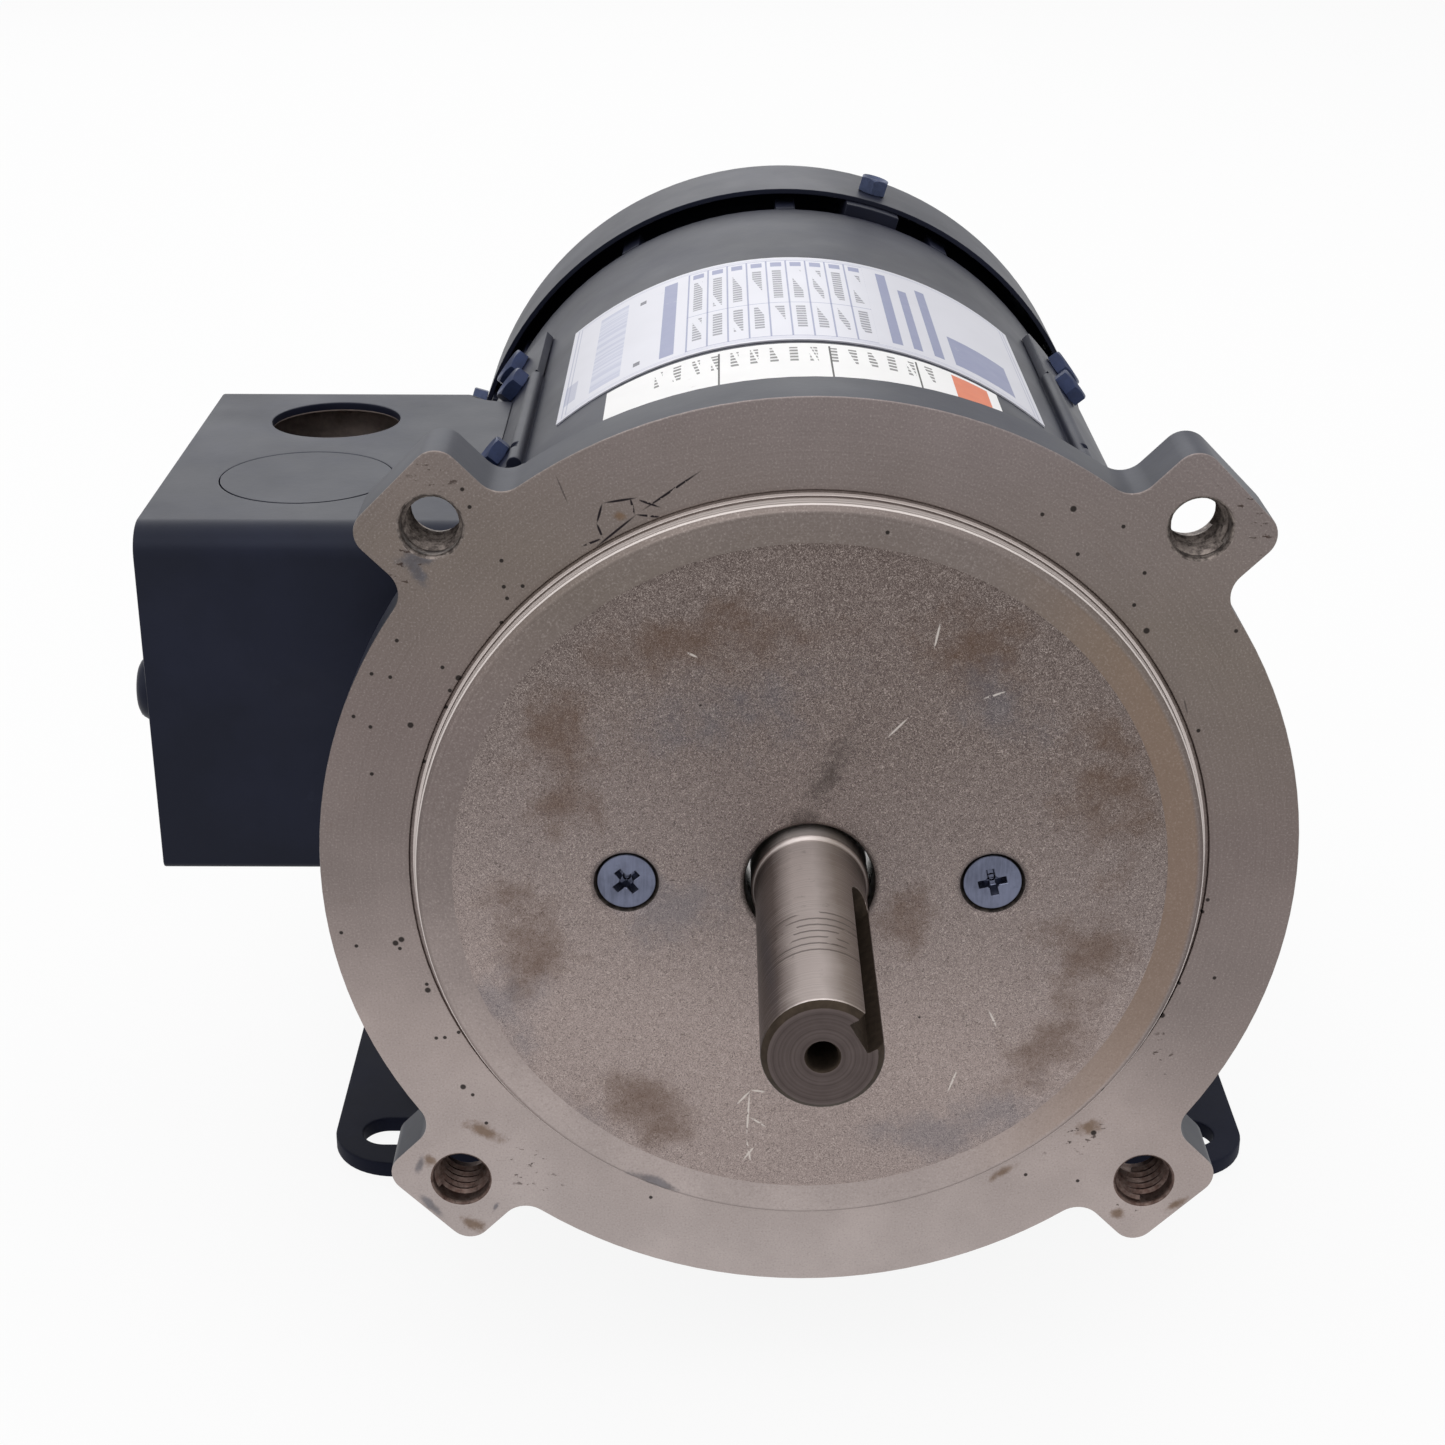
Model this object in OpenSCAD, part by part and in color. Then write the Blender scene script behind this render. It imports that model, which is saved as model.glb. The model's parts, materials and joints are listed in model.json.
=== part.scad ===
// Totally enclosed, fan cooled brush motor with a tapped mounting face, a bolted base and a
// conduit box on the left side. The origin is the centre of the base's hole pattern on its
// underside. +Z is up, the shaft points to -Y and the conduit box to -X.
// Stations along the shaft are measured from the mounting face, positive into the motor.
// Clock angles are degrees clockwise from the top, as seen from the shaft end.

/* [Shaft] */
// Height of the shaft's axis above the floor
shaft_height = 88.9; // [80:0.1:110]
// Diameter of the output end
shaft_d = 15.875; // [13:0.005:19.05]
// Length of the output end beyond the mounting face
shaft_end_l = 52.4; // [44:0.1:64]
// Width of the keyway
keyway_w = 4.76; // [3.2:0.01:6.35]
// Depth of the keyway below the top of the shaft
keyway_depth = 2.74; // [1.5:0.01:3.2]
// Length of the keyway
keyway_l = 35.8; // [20:0.1:40]
// Clock angle of the keyway
keyway_clock = 60; // [0:1:359]

/* [Mounting face] */
// Diameter of the centring register
register_d = 114.3; // [108:0.1:120]
// Height of the register above the face
register_h = 3.2; // [2.5:0.1:6]
// Diameter of the round flange
flange_d = 142.4; // [134:0.1:172]
// Thickness of the flange and its ears
flange_t = 11.5; // [9:0.1:14]
// Diameter of the bolt circle through the four ears
bolt_circle_d = 149.225; // [146:0.005:154]
// Pitch diameter of the tapped holes in the ears
tapped_d = 8.49; // [7.5:0.01:9.6]
// Width of an ear
ear_w = 18.6; // [16:0.1:21]
// Distance from the shaft's axis to the end of an ear
ear_reach = 82.5; // [81:0.1:90]

/* [Shell] */
// Outside diameter of the steel shell
shell_d = 124.4; // [104:0.1:150]
// Wall of the shell
shell_wall = 5; // [3.5:0.1:6]
// Length of the shell
shell_l = 162; // [150:1:200]

/* [Base] */
// Distance between the holes across the motor
foot_span_x = 123.8; // [116:0.1:130]
// Distance between the holes along the motor
foot_span_y = 76.2; // [76.2:0.1:100]
// Distance from the mounting face to the nearest holes
foot_setback = 66.4; // [60:0.05:80]
// Width of a slot
slot_w = 8.7; // [7:0.1:10]
// Length of a slot
slot_l = 33; // [12:0.1:34]
// Width of the base across the feet
base_w = 167; // [166:1:190]
// Metal left between the hole centres and the front and rear edges
base_margin = 11; // [10:0.1:20]
// Thickness of the base plate and its cheeks
base_t = 3; // [2:0.1:4]

/* [Fan cover] */
// Distance that the cover's wall stands out beyond the shell
cover_step = 3; // [3:0.1:12]
// Overlap of the cover behind the end of the shell
cover_gap = 5.4; // [4:0.1:8]
// Length of the cover
cover_l = 35.3; // [34:0.1:50]
// Thickness of the cover's sheet
cover_t = 1; // [0.8:0.1:1.4]
// Corner radius of the cover
cover_corner_r = 10; // [6:0.5:12]
// Clock angle of the first cover screw
cover_screw_clock = 16; // [10:1:20]

/* [Conduit box] */
// Station of the front wall
box_front = 38; // [30:1:44]
// Length of the box along the motor
box_l = 82; // [70:1:90]
// Top of the box above the shaft's axis
box_top = 39.8; // [34:0.1:42]
// Height of the box
box_h = 58; // [50:1:62]
// Distance from the shell to the lid's outer face
box_reach = 41.2; // [34:0.1:60]
// Thickness of the sheet
box_t = 1.6; // [1.2:0.1:2]
// Radius of the bends along the top
box_bend_r = 5; // [4:0.5:14]
// Diameter of the open knockout
knockout_d = 22.2; // [20:0.1:22.2]
// Diameter of the closed knockout
blank_knockout_d = 28.2; // [26:0.1:28.6]

/* [Inside] */
// Outside diameter of the ball bearings
bearing_od = 40; // [38:0.5:42]
// Width of the ball bearings
bearing_w = 12; // [11:0.5:12]
// Radial thickness of the magnets
magnet_t = 12; // [9:0.5:14]
// Air gap between the armature and the magnets
air_gap = 0.8; // [0.6:0.1:1.2]
// Length of the armature's laminated core
core_l = 76; // [60:1:78]
// Number of slots in the core
core_slots = 16; // [12:2:20]
// Diameter of the commutator
commutator_d = 45; // [37:1:48]
// Number of commutator bars
commutator_bars_n = 24; // [16:2:32]
// Width of a brush across the shaft
brush_w = 8; // [6:0.5:9]
// Length of a brush along the shaft
brush_l = 16; // [12:0.5:16]
// Gap between the fan's blades and the fan cover
fan_gap = 8.2; // [7:0.1:20]
// Number of fan blades
fan_blades = 9; // [5:1:12]

/* [Hidden] */
$fn = 96;

// Clearances, each used wherever the same kind of fit occurs
cut = 1;               // overshoot of a cutting solid
seat_gap = 0.05;       // curved faces that are clamped or glued together
run_gap = 0.3;         // faces that move past each other
screw_gap = 0.25;      // radial gap of a screw in a plain hole
thread_gap = 0.04;     // radial gap of a screw in its tapped hole

// Colours
paint = "#2b3142";
cast_iron = "#8b827c";
steel = "#b9bcc0";
zinc = "#9aa6b4";
copper = "#b5652d";
phenolic = "#1c1a19";
rubber = "#202124";
ferrite = "#3b3c40";
label_silver = "#c9c9cf";

// Frame
face_y = -(foot_setback + foot_span_y / 2);
shell_r = shell_d / 2;
shell_in = shell_r - shell_wall;
shell_end = flange_t + shell_l;
register_r = register_d / 2;
flange_r = flange_d / 2;

// Bearings and shaft stations
journal_step = 0.56;
journal_r = shaft_d / 2 + journal_step;
bearing_r = bearing_od / 2;
bearing_clear = 0.03;
front_bearing = 3;
rear_bearing = shell_end + 3.5;
cast_out = 0.35;
face_out = register_h + cast_out;
shaft_hole_r = journal_r + 0.85;
shaft_mouth = 0.6;
collar_out = 1.35;
shoulder_at = -face_out - collar_out;
journal_chamfer = 0.5;
core_seat_r = journal_r + 1;
fan_seat_r = 6;
spring_t = 1;
wave_depth = 2;
rear_wall = rear_bearing + bearing_w + wave_depth;
rear_wall_t = 2.8;
fan_at = rear_wall + rear_wall_t + 1.2;
fan_hub_l = 11.5;
clip_at = fan_at + fan_hub_l + 0.3;
clip_t = 1;
shaft_tail = clip_at + clip_t + 1.2;
shaft_chamfer = 1;
centre_hole_r = 2;
centre_cone_r = 2.4;
centre_hole_depth = 8;

// Rotor stations
core_at = 38.5;
core_end = core_at + core_l;
magnet_r = shell_in - magnet_t;
core_r = magnet_r - air_gap;
magnet_margin = 4;
magnet_half = 68;
slot_depth = 13;
slot_r = 3.3;
slot_mouth = 2.6;
insulator_t = 1;
coil_gap = 0.3;
coil_overhang = 13;
commutator_at = shell_end - 35;
commutator_l = 25;
riser_l = 2.6;
riser_h = 2.2;
commutator_r = commutator_d / 2;
bar_depth = 6.5;
bar_slit = 0.7;

// Brush gear
brush_at = commutator_at + riser_l + 11.6;
brush_tall = 20;
brush_gap = 0.1;
holder_r = 10.3;
holder_wall_min = 1;
holder_start = commutator_r + 2.5;
holder_out = 1.2;
cap_r = 8.6;
cap_thread_r = 7.6;
cap_head = 3;
cap_plug = 4.5;
spring_wire_r = 0.45;
spring_coil_r = 3;
spring_turns = 6;

// Screws
retainer_screw_x = bearing_r + 6.5;
retainer_shank_r = 2.05;
retainer_head_r = 4.3;
retainer_rim = 0.4;
retainer_cone_h = 2.25;
retainer_recess = 0.8;
retainer_mouth = 1;
retainer_t = 2.5;
boss_r = 6.3;
through_shank_r = 2.35;
through_r = shell_in - 5.7;
through_clock = 16;
through_clocks = [90 - through_clock, 90 + through_clock, 270 - through_clock, 270 + through_clock];
hex_small = 7.9;
hex_pad = 6;
hex_stud = 7;
hex_cover = 5.4;
pad_head_h = 2.6;
stud_head_h = 2.4;
cover_head_h = 3;
screw_shank_r = 2.35;
pad_shank_r = 1.9;

// Pads on both sides of the shell
pad_t = 1.8;
pad_r = shell_r + seat_gap + pad_t;
pad_from = 46.2;
pad_to = 116;
pad_front = box_front + 23;
pad_l = min(84, shell_end - pad_front - 1);
pad_bead_r = 1.25;
pad_bead_inset = 0.9;
pad_bead_clock = pad_from + asin(pad_bead_inset / pad_r);
pad_bead_l = 54;
pad_screw_clock = 51;
pad_low_clock = 104;
pad_stations = [pad_front + 11.5, pad_front + 56];
pad_stud_clock = 53.5;
pad_stud_station = pad_front + pad_l - 7;
pad_notch_r = 6;

// Conduit box
box_x = -(shell_r + box_reach);
box_seat_r = pad_r + seat_gap;
lid_t = 1.4;
gasket_t = 0.8;
ledge_w = 4;
box_open = box_x + lid_t + gasket_t;
box_low_r = 1.2;
box_mid = box_top - box_h / 2;
box_centre_y = face_y + box_front + box_l / 2;
knockout_x = box_x + 23;
knockout_front = box_front + 61;
blank_front = box_front + 27;
knockout_kerf = 0.12;
tab_w = 10;
tab_t = 8;
tab_inset = 7;
lead_clock = -84;
lead_station = box_front + box_l - 12;
lead_hole_r = 7;
box_bolt_stations = [box_front + 14, box_front + box_l - 38];
ground_station = box_front + 32;

// Base
base_l = foot_span_y + 2 * base_margin;
base_corner_r = 12;
cheek_half = base_w / 2 - 15.5;
saddle_t = 3;
saddle_w = 14;
saddle_half = 42;
saddle_r = shell_r + seat_gap + saddle_t;
base_screw_clock = 30;
base_screw_y = base_l / 2 - base_t - saddle_w / 2;

// Fan cover
cover_r = shell_r + cover_step;
cover_in = cover_r - cover_t;
fan_r = cover_in - fan_gap;
cover_front = shell_end + cover_gap;
cover_end = cover_front + cover_l;
cover_screw_at = cover_front + 9.6;
cover_clocks = [for (i = [0:3]) cover_screw_clock + 90 * i];
endbell_r = shell_r - 1.5;
endbell_plate_t = 6;
spigot_l = 6;
spigot_wall = 3.6;

// Labels
label_t = 0.25;
nameplate_front = 66.5;
nameplate_l = 61;
nameplate_half = 39.5;
connection_front = 34;
connection_l = 30;
connection_half = 30;

// ---------------------------------------------------------------- placing

// Local +Z runs along the shaft into the motor, and local -Y points up
module on_axis(d) translate([0, face_y + d, shaft_height]) rotate([-90, 0, 0]) children();

module clocked(d, clock) on_axis(d) rotate([0, 0, clock]) children();

// Local +Z points outwards from the shaft's axis and local +Y along it
module radial(d, clock) clocked(d, clock) rotate([90, 0, 0]) children();

// ---------------------------------------------------------------- shapes

module tube(r_out, r_in, l) difference() {
    cylinder(r = r_out, h = l);
    translate([0, 0, -cut]) cylinder(r = r_in, h = l + 2 * cut);
}

module wedge(r, from, to) {
    steps = 6;
    polygon([[0, 0], for (i = [0:steps]) let (a = from + (to - from) * i / steps) [r * sin(a), -r * cos(a)]]);
}

module sector(r_in, r_out, from, to, l) linear_extrude(l) intersection() {
    difference() {
        circle(r_out);
        circle(r_in);
    }
    wedge(2 * r_out, from, to);
}

module rounded(w, l, r) {
    square([w - 2 * r, l], center = true);
    square([w, l - 2 * r], center = true);
    for (x = [-1, 1], y = [-1, 1]) translate([x * (w / 2 - r), y * (l / 2 - r)]) circle(r);
}

module slot(l, w) {
    square([l - w, w], center = true);
    for (x = [-1, 1]) translate([x * (l - w) / 2, 0]) circle(w / 2);
}

// Hexagon of a given width across its flats, drawn upwards
module hex(flats, h) cylinder(r = flats / sqrt(3), h = h, $fn = 6);

// Hexagon head with its washer, and a shank below it
module hex_screw(flats, shank_r, shank_l) {
    washer_h = 0.8;
    translate([0, 0, -shank_l]) cylinder(r = shank_r, h = shank_l + washer_h);
    cylinder(r = flats * 0.68, h = washer_h);
    translate([0, 0, washer_h]) hex(flats, flats * 0.42);
}

// Hexagon head without a washer, flats across the shaft's line
module plain_screw(flats, head_h, shank_r, shank_l) {
    translate([0, 0, -shank_l]) cylinder(r = shank_r, h = shank_l + head_h / 2);
    rotate([0, 0, 30]) hex(flats, head_h);
}

// ---------------------------------------------------------------- bearings

ball_r = 3.37;
race_r = ball_r + 0.06;
pitch_r = (journal_r + bearing_r) / 2;
land_in = pitch_r - 2.35;
land_out = pitch_r + 2.35;
shield_t = 0.4;
shield_inset = 0.6;
balls_n = 8;

module race(r_in, r_out) difference() {
    tube(r_out, r_in, bearing_w);
    translate([0, 0, bearing_w / 2]) rotate_extrude() translate([pitch_r, 0]) circle(race_r, $fn = 32);
}

module bearing_outer(d) color(steel) on_axis(d) race(land_out, bearing_r - bearing_clear);

module bearing_inner(d) color(steel) on_axis(d) race(journal_r + seat_gap / 2, land_in);

module bearing_balls(d) color(steel) on_axis(d) {
    cage_w = 2 * ball_r + 0.6;
    translate([0, 0, (bearing_w - cage_w) / 2]) tube(pitch_r + 0.7, pitch_r - 0.7, cage_w);
    for (i = [0:balls_n - 1]) rotate([0, 0, 360 / balls_n * (i + 0.5)])
        translate([pitch_r, 0, bearing_w / 2]) sphere(ball_r, $fn = 32);
}

module bearing_shields(d) color("#6f5a4a") on_axis(d)
    for (z = [shield_inset, bearing_w - shield_inset - shield_t])
        translate([0, 0, z]) tube(land_out - seat_gap, land_in + run_gap, shield_t);

// ---------------------------------------------------------------- drive end

groove_w = 1;
groove_depth = 0.5;
register_chamfer = 0.95;
cast_r = register_r - 5.5;
cast_edge = 0.7;
rim_chamfer = 0.8;
pocket_floor = 5.5;
hub_r = bearing_r + 7.5;
ear_corner_r = 3.5;
ear_fillet_r = 4;

// Half section of the endbell: radius, then station
drive_profile = [
    [shaft_hole_r, shaft_mouth - face_out], [shaft_hole_r + shaft_mouth, -face_out],
    [cast_r - cast_edge, -face_out], [cast_r, -register_h],
    [register_r - register_chamfer, -register_h], [register_r, register_chamfer - register_h],
    [register_r, groove_depth], [register_r + groove_w, groove_depth], [register_r + groove_w, 0],
    [flange_r, 0], [flange_r, flange_t - rim_chamfer], [flange_r - rim_chamfer, flange_t],
    [shell_in - seat_gap, flange_t], [shell_in - seat_gap, flange_t + spigot_l],
    [shell_in - seat_gap - spigot_wall, flange_t + spigot_l],
    [shell_in - seat_gap - spigot_wall, pocket_floor],
    [hub_r, pocket_floor], [hub_r, front_bearing + bearing_w], [bearing_r, front_bearing + bearing_w],
    [bearing_r, front_bearing], [land_out - 0.8, front_bearing], [land_out - 0.8, front_bearing - 1.5],
    [shaft_hole_r, front_bearing - 1.5]];

module ear() {
    w = ear_w / 2;
    shoulder = ear_reach - ear_corner_r;
    root = sqrt(pow(flange_r + ear_fillet_r, 2) - pow(w + ear_fillet_r, 2));
    touch = flange_r / (flange_r + ear_fillet_r);
    difference() {
        union() {
            translate([-w, -shoulder]) square([ear_w, shoulder - register_r - 2 * groove_w]);
            translate([ear_corner_r - w, -ear_reach]) square([ear_w - 2 * ear_corner_r, 2 * ear_corner_r]);
            for (s = [-1, 1]) {
                translate([s * (w - ear_corner_r), -shoulder]) circle(ear_corner_r);
                polygon([[0, -root], [s * w, -root], [s * (w + ear_fillet_r), -root],
                    [s * (w + ear_fillet_r) * touch, -root * touch], [0, -root * touch + 3]]);
            }
        }
        for (s = [-1, 1]) translate([s * (w + ear_fillet_r), -root]) circle(ear_fillet_r);
    }
}

tapped_mouth = 0.45;

module drive_endbell() color(cast_iron) difference() {
    union() {
        on_axis(0) rotate_extrude() polygon(drive_profile);
        for (c = [45:90:315]) clocked(0, c) linear_extrude(flange_t) ear();
        for (s = [-1, 1]) on_axis(0) translate([s * retainer_screw_x, 0, 0])
            cylinder(r = boss_r, h = front_bearing + bearing_w);
        for (c = through_clocks) clocked(pocket_floor - 1, c) translate([0, -through_r, 0])
            cylinder(r = 5, h = flange_t + spigot_l - pocket_floor + 1);
    }
    on_axis(front_bearing) cylinder(r = bearing_r, h = bearing_w + cut);
    for (c = [45:90:315]) clocked(0, c) translate([0, -bolt_circle_d / 2, 0]) {
        translate([0, 0, -cut]) cylinder(r = tapped_d / 2, h = flange_t + 2 * cut);
        translate([0, 0, -tapped_mouth]) cylinder(r1 = tapped_d / 2 + 2 * tapped_mouth, r2 = tapped_d / 2,
            h = 2 * tapped_mouth);
    }
    for (s = [-1, 1]) on_axis(-face_out) translate([s * retainer_screw_x, 0, 0]) {
        cylinder(r = retainer_shank_r + screw_gap, h = 2 * face_out + front_bearing + bearing_w);
        translate([0, 0, -0.01]) cylinder(r1 = retainer_head_r + retainer_mouth,
            r2 = retainer_head_r + screw_gap, h = retainer_recess + 0.01);
        translate([0, 0, -cut])
            cylinder(r = retainer_head_r + screw_gap, h = cut + retainer_recess + retainer_rim);
        translate([0, 0, retainer_recess + retainer_rim]) cylinder(r1 = retainer_head_r + screw_gap,
            r2 = retainer_shank_r + screw_gap, h = retainer_cone_h);
    }
    for (c = through_clocks) clocked(pocket_floor + 1, c) translate([0, -through_r, 0])
        cylinder(r = through_shank_r + thread_gap, h = flange_t + spigot_l);
}

module retainer_screws() color(zinc) for (s = [-1, 1])
    on_axis(retainer_recess - face_out) translate([s * retainer_screw_x, 0, 0]) difference() {
        union() {
            cylinder(r = retainer_head_r, h = retainer_rim);
            translate([0, 0, retainer_rim])
                cylinder(r1 = retainer_head_r, r2 = retainer_shank_r, h = retainer_cone_h);
            cylinder(r = retainer_shank_r,
                h = face_out - retainer_recess + front_bearing + bearing_w + retainer_t + 1);
        }
        for (a = [0, 90]) rotate([0, 0, a]) translate([-0.55, -2.5, -cut]) cube([1.1, 5, cut + 1.7]);
    }

module bearing_retainer() color(steel) on_axis(front_bearing + bearing_w) linear_extrude(retainer_t)
    difference() {
        union() {
            circle(bearing_r - 1.5);
            square([2 * retainer_screw_x, 2 * boss_r - 1], center = true);
            for (s = [-1, 1]) translate([s * retainer_screw_x, 0]) circle(boss_r - 0.5);
        }
        circle(land_in + 1);
        for (s = [-1, 1]) translate([s * retainer_screw_x, 0]) circle(retainer_shank_r + thread_gap);
    }

// ---------------------------------------------------------------- shell and field

module brush_openings(r) for (c = [90, 270]) radial(brush_at, c) cylinder(r = r, h = 2 * shell_r);

// Places of the side pads' screws, each as [station, clock]; the right pad's front screw is low down
pad_screw_places = concat([for (d = pad_stations) [d, -pad_screw_clock]],
    [[pad_stations[0], pad_low_clock], [pad_stations[1], pad_screw_clock]],
    [for (s = [-1, 1]) [pad_stud_station, s * pad_stud_clock]]);

module pad_screw_holes(r) for (p = pad_screw_places)
    radial(p[0], p[1]) translate([0, 0, shell_in + 0.4]) cylinder(r = r, h = shell_wall + 4);

module box_bolt_holes(r) for (d = box_bolt_stations)
    radial(d, -90) translate([0, 0, shell_in + 0.4]) cylinder(r = r, h = shell_wall + 6);

module lead_hole(r) radial(lead_station, lead_clock)
    translate([0, 0, shell_r / 2]) cylinder(r = r, h = shell_r / 2 + pad_t + 3);

module base_screw_holes(r) for (s = [-1, 1], c = [-1, 1])
    radial(s * base_screw_y - face_y, 180 + c * base_screw_clock)
        translate([0, 0, shell_in + 0.4]) cylinder(r = r, h = shell_wall + 6);

module shell() color(paint) difference() {
    on_axis(flange_t) tube(shell_r, shell_in, shell_l);
    brush_openings(holder_r + screw_gap);
    pad_screw_holes(pad_shank_r + thread_gap);
    box_bolt_holes(screw_shank_r + thread_gap);
    lead_hole(lead_hole_r);
    base_screw_holes(screw_shank_r + thread_gap);
}

module magnet(clock) color(ferrite) clocked(core_at - magnet_margin, clock)
    sector(magnet_r, shell_in - seat_gap, -magnet_half, magnet_half, core_l + 2 * magnet_margin);

module magnet_top() magnet(0);
module magnet_bottom() magnet(180);

// Spring strips that push the magnets apart
module magnet_clips() color(steel) for (c = [90, 270]) {
    strip_half = 90 - magnet_half - 0.15;
    clocked(core_at + 8, c) sector(shell_in - 1.2, shell_in - seat_gap, -strip_half, strip_half, core_l - 24);
}

// ---------------------------------------------------------------- rotor

clip_groove_r = 4.9;

shaft_profile = [
    [0, -shaft_end_l], [shaft_d / 2 - shaft_chamfer, -shaft_end_l],
    [shaft_d / 2, shaft_chamfer - shaft_end_l],
    [shaft_d / 2, shoulder_at - journal_chamfer], [journal_r, shoulder_at],
    [journal_r, front_bearing + bearing_w], [core_seat_r, front_bearing + bearing_w],
    [core_seat_r, rear_bearing], [journal_r, rear_bearing], [journal_r, rear_bearing + bearing_w + 1],
    [fan_seat_r, rear_bearing + bearing_w + 2], [fan_seat_r, clip_at], [clip_groove_r, clip_at],
    [clip_groove_r, clip_at + clip_t], [fan_seat_r, clip_at + clip_t], [fan_seat_r, shaft_tail - 0.6],
    [fan_seat_r - 0.6, shaft_tail], [0, shaft_tail]];

keyway_start = 4;
fan_flat = 1;

// Turned from the keyway round, so that the seam of the round surface lies in the keyway
module shaft() color(steel) difference() {
    clocked(0, keyway_clock - 90) rotate_extrude() polygon(shaft_profile);
    clocked(-shaft_end_l, keyway_clock) {
        translate([-keyway_w / 2, -shaft_d, -cut])
            cube([keyway_w, shaft_d / 2 + keyway_depth, keyway_l + cut]);
        translate([0, keyway_depth - shaft_d / 2, keyway_l]) rotate([90, 0, 0])
            cylinder(r = keyway_w / 2, h = shaft_d);
    }
    on_axis(-shaft_end_l) {
        translate([0, 0, -cut]) cylinder(r = centre_hole_r, h = centre_hole_depth + cut);
        translate([0, 0, -0.01]) cylinder(r1 = centre_cone_r, r2 = centre_hole_r, h = 0.7);
    }
    on_axis(fan_at) translate([-fan_seat_r, -fan_seat_r - cut, 0])
        cube([2 * fan_seat_r, fan_flat + cut, fan_hub_l]);
}

// One slot of the core, seen along the shaft and grown by g
module core_slot(g) {
    translate([0, slot_r + 1.6 - core_r]) circle(slot_r + g, $fn = 32);
    translate([-slot_r * 0.6 - g, slot_r + 1.6 - core_r])
        square([slot_r * 1.2 + 2 * g, slot_depth - slot_r + g]);
    translate([-slot_mouth / 2 - g, -core_r - 1]) square([slot_mouth + 2 * g, slot_r + 2.6]);
}

module lamination(grow, clear) difference() {
    circle(core_r + grow);
    circle(core_seat_r + 0.02);
    for (i = [0:core_slots - 1]) rotate(360 / core_slots * i) core_slot(clear);
}

module armature_core() color("#8c8f93") on_axis(core_at) linear_extrude(core_l) lamination(0, 0);

module core_insulators() color("#7a8c4a") for (d = [core_at - insulator_t - seat_gap, core_end + seat_gap])
    on_axis(d) linear_extrude(insulator_t) lamination(-0.6, 0.1);

coil_in = core_r - slot_depth - 4;
coil_out = core_r - 2.6;
coil_start = core_at - insulator_t - coil_overhang;
coil_end = core_end + insulator_t + coil_overhang;

// End turns: a ring with round shoulders, its section drawn as radius and height
module end_turns(h) {
    r = 4;
    rotate_extrude() translate([coil_in, 0]) {
        square([coil_out - coil_in, h - r]);
        translate([r, 0]) square([coil_out - coil_in - 2 * r, h]);
        for (x = [r, coil_out - coil_in - r]) translate([x, h - r]) circle(r, $fn = 32);
    }
}

module armature_coils() color(copper) {
    end_h = coil_overhang - coil_gap;
    on_axis(coil_start + end_h) rotate([180, 0, 0]) end_turns(end_h);
    on_axis(coil_end - end_h) end_turns(end_h);
    on_axis(coil_start + end_h - 1) linear_extrude(coil_end - coil_start - 2 * end_h + 2)
        for (i = [0:core_slots - 1]) rotate(360 / core_slots * i) intersection() {
            core_slot(-coil_gap);
            circle(core_r - 2);
        }
}

module commutator_hub() color(phenolic) on_axis(commutator_at)
    tube(commutator_r - bar_depth - seat_gap, core_seat_r + 0.02, riser_l + commutator_l);

module commutator_bars() color(copper) on_axis(commutator_at) difference() {
    union() {
        cylinder(r = commutator_r, h = riser_l + commutator_l);
        cylinder(r = commutator_r + riser_h, h = riser_l);
    }
    translate([0, 0, -cut]) cylinder(r = commutator_r - bar_depth, h = riser_l + commutator_l + 2 * cut);
    for (i = [0:commutator_bars_n - 1]) rotate([0, 0, 360 / commutator_bars_n * i])
        translate([-bar_slit / 2, 0, -cut])
            cube([bar_slit, 2 * commutator_r, riser_l + commutator_l + 2 * cut]);
}

module fan() color(phenolic) on_axis(fan_at) {
    hub_r_fan = fan_seat_r + 5;
    plate_t = 2;
    blade_in = hub_r_fan + 8;
    difference() {
        union() {
            cylinder(r = hub_r_fan, h = fan_hub_l);
            cylinder(r = fan_r, h = plate_t);
            for (i = [0:fan_blades - 1]) rotate([0, 0, 360 / fan_blades * i])
                translate([-1, -fan_r + 0.5, 1]) cube([2, fan_r - blade_in, 9]);
        }
        difference() {
            translate([0, 0, -cut]) cylinder(r = fan_seat_r + seat_gap, h = fan_hub_l + 2 * cut);
            translate([-fan_seat_r, -fan_seat_r - cut, -2 * cut])
                cube([2 * fan_seat_r, fan_flat - seat_gap + cut, fan_hub_l + 4 * cut]);
        }
    }
}

module fan_clip() color(steel) on_axis(clip_at + seat_gap)
    sector(clip_groove_r + seat_gap, fan_seat_r + 2.6, 50, 310, clip_t - 2 * seat_gap);

// ---------------------------------------------------------------- brush gear

// Wound wire along local +Z, swept as one tube with flat ends
module coil_spring(l) {
    sides = 6;
    rings = 16 * spring_turns;
    pitch = l - 2 * spring_wire_r;
    points = [for (i = [0:rings], k = [0:sides - 1])
        let (a = 360 * spring_turns * i / rings, b = 360 * k / sides,
             r = spring_coil_r + spring_wire_r * cos(b))
        [r * cos(a), r * sin(a), spring_wire_r + pitch * i / rings + spring_wire_r * sin(b)]];
    walls = [for (i = [0:rings - 1], k = [0:sides - 1])
        [i * sides + k, i * sides + (k + 1) % sides, (i + 1) * sides + (k + 1) % sides, (i + 1) * sides + k]];
    ends = [[for (k = [sides - 1:-1:0]) k], [for (k = [0:sides - 1]) rings * sides + k]];
    polyhedron(points, concat(walls, ends));
}

brush_foot = commutator_r + run_gap;
brush_head = brush_foot + brush_tall;
cap_bottom = shell_r + holder_out - cap_plug;
brush_travel = 3;

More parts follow.
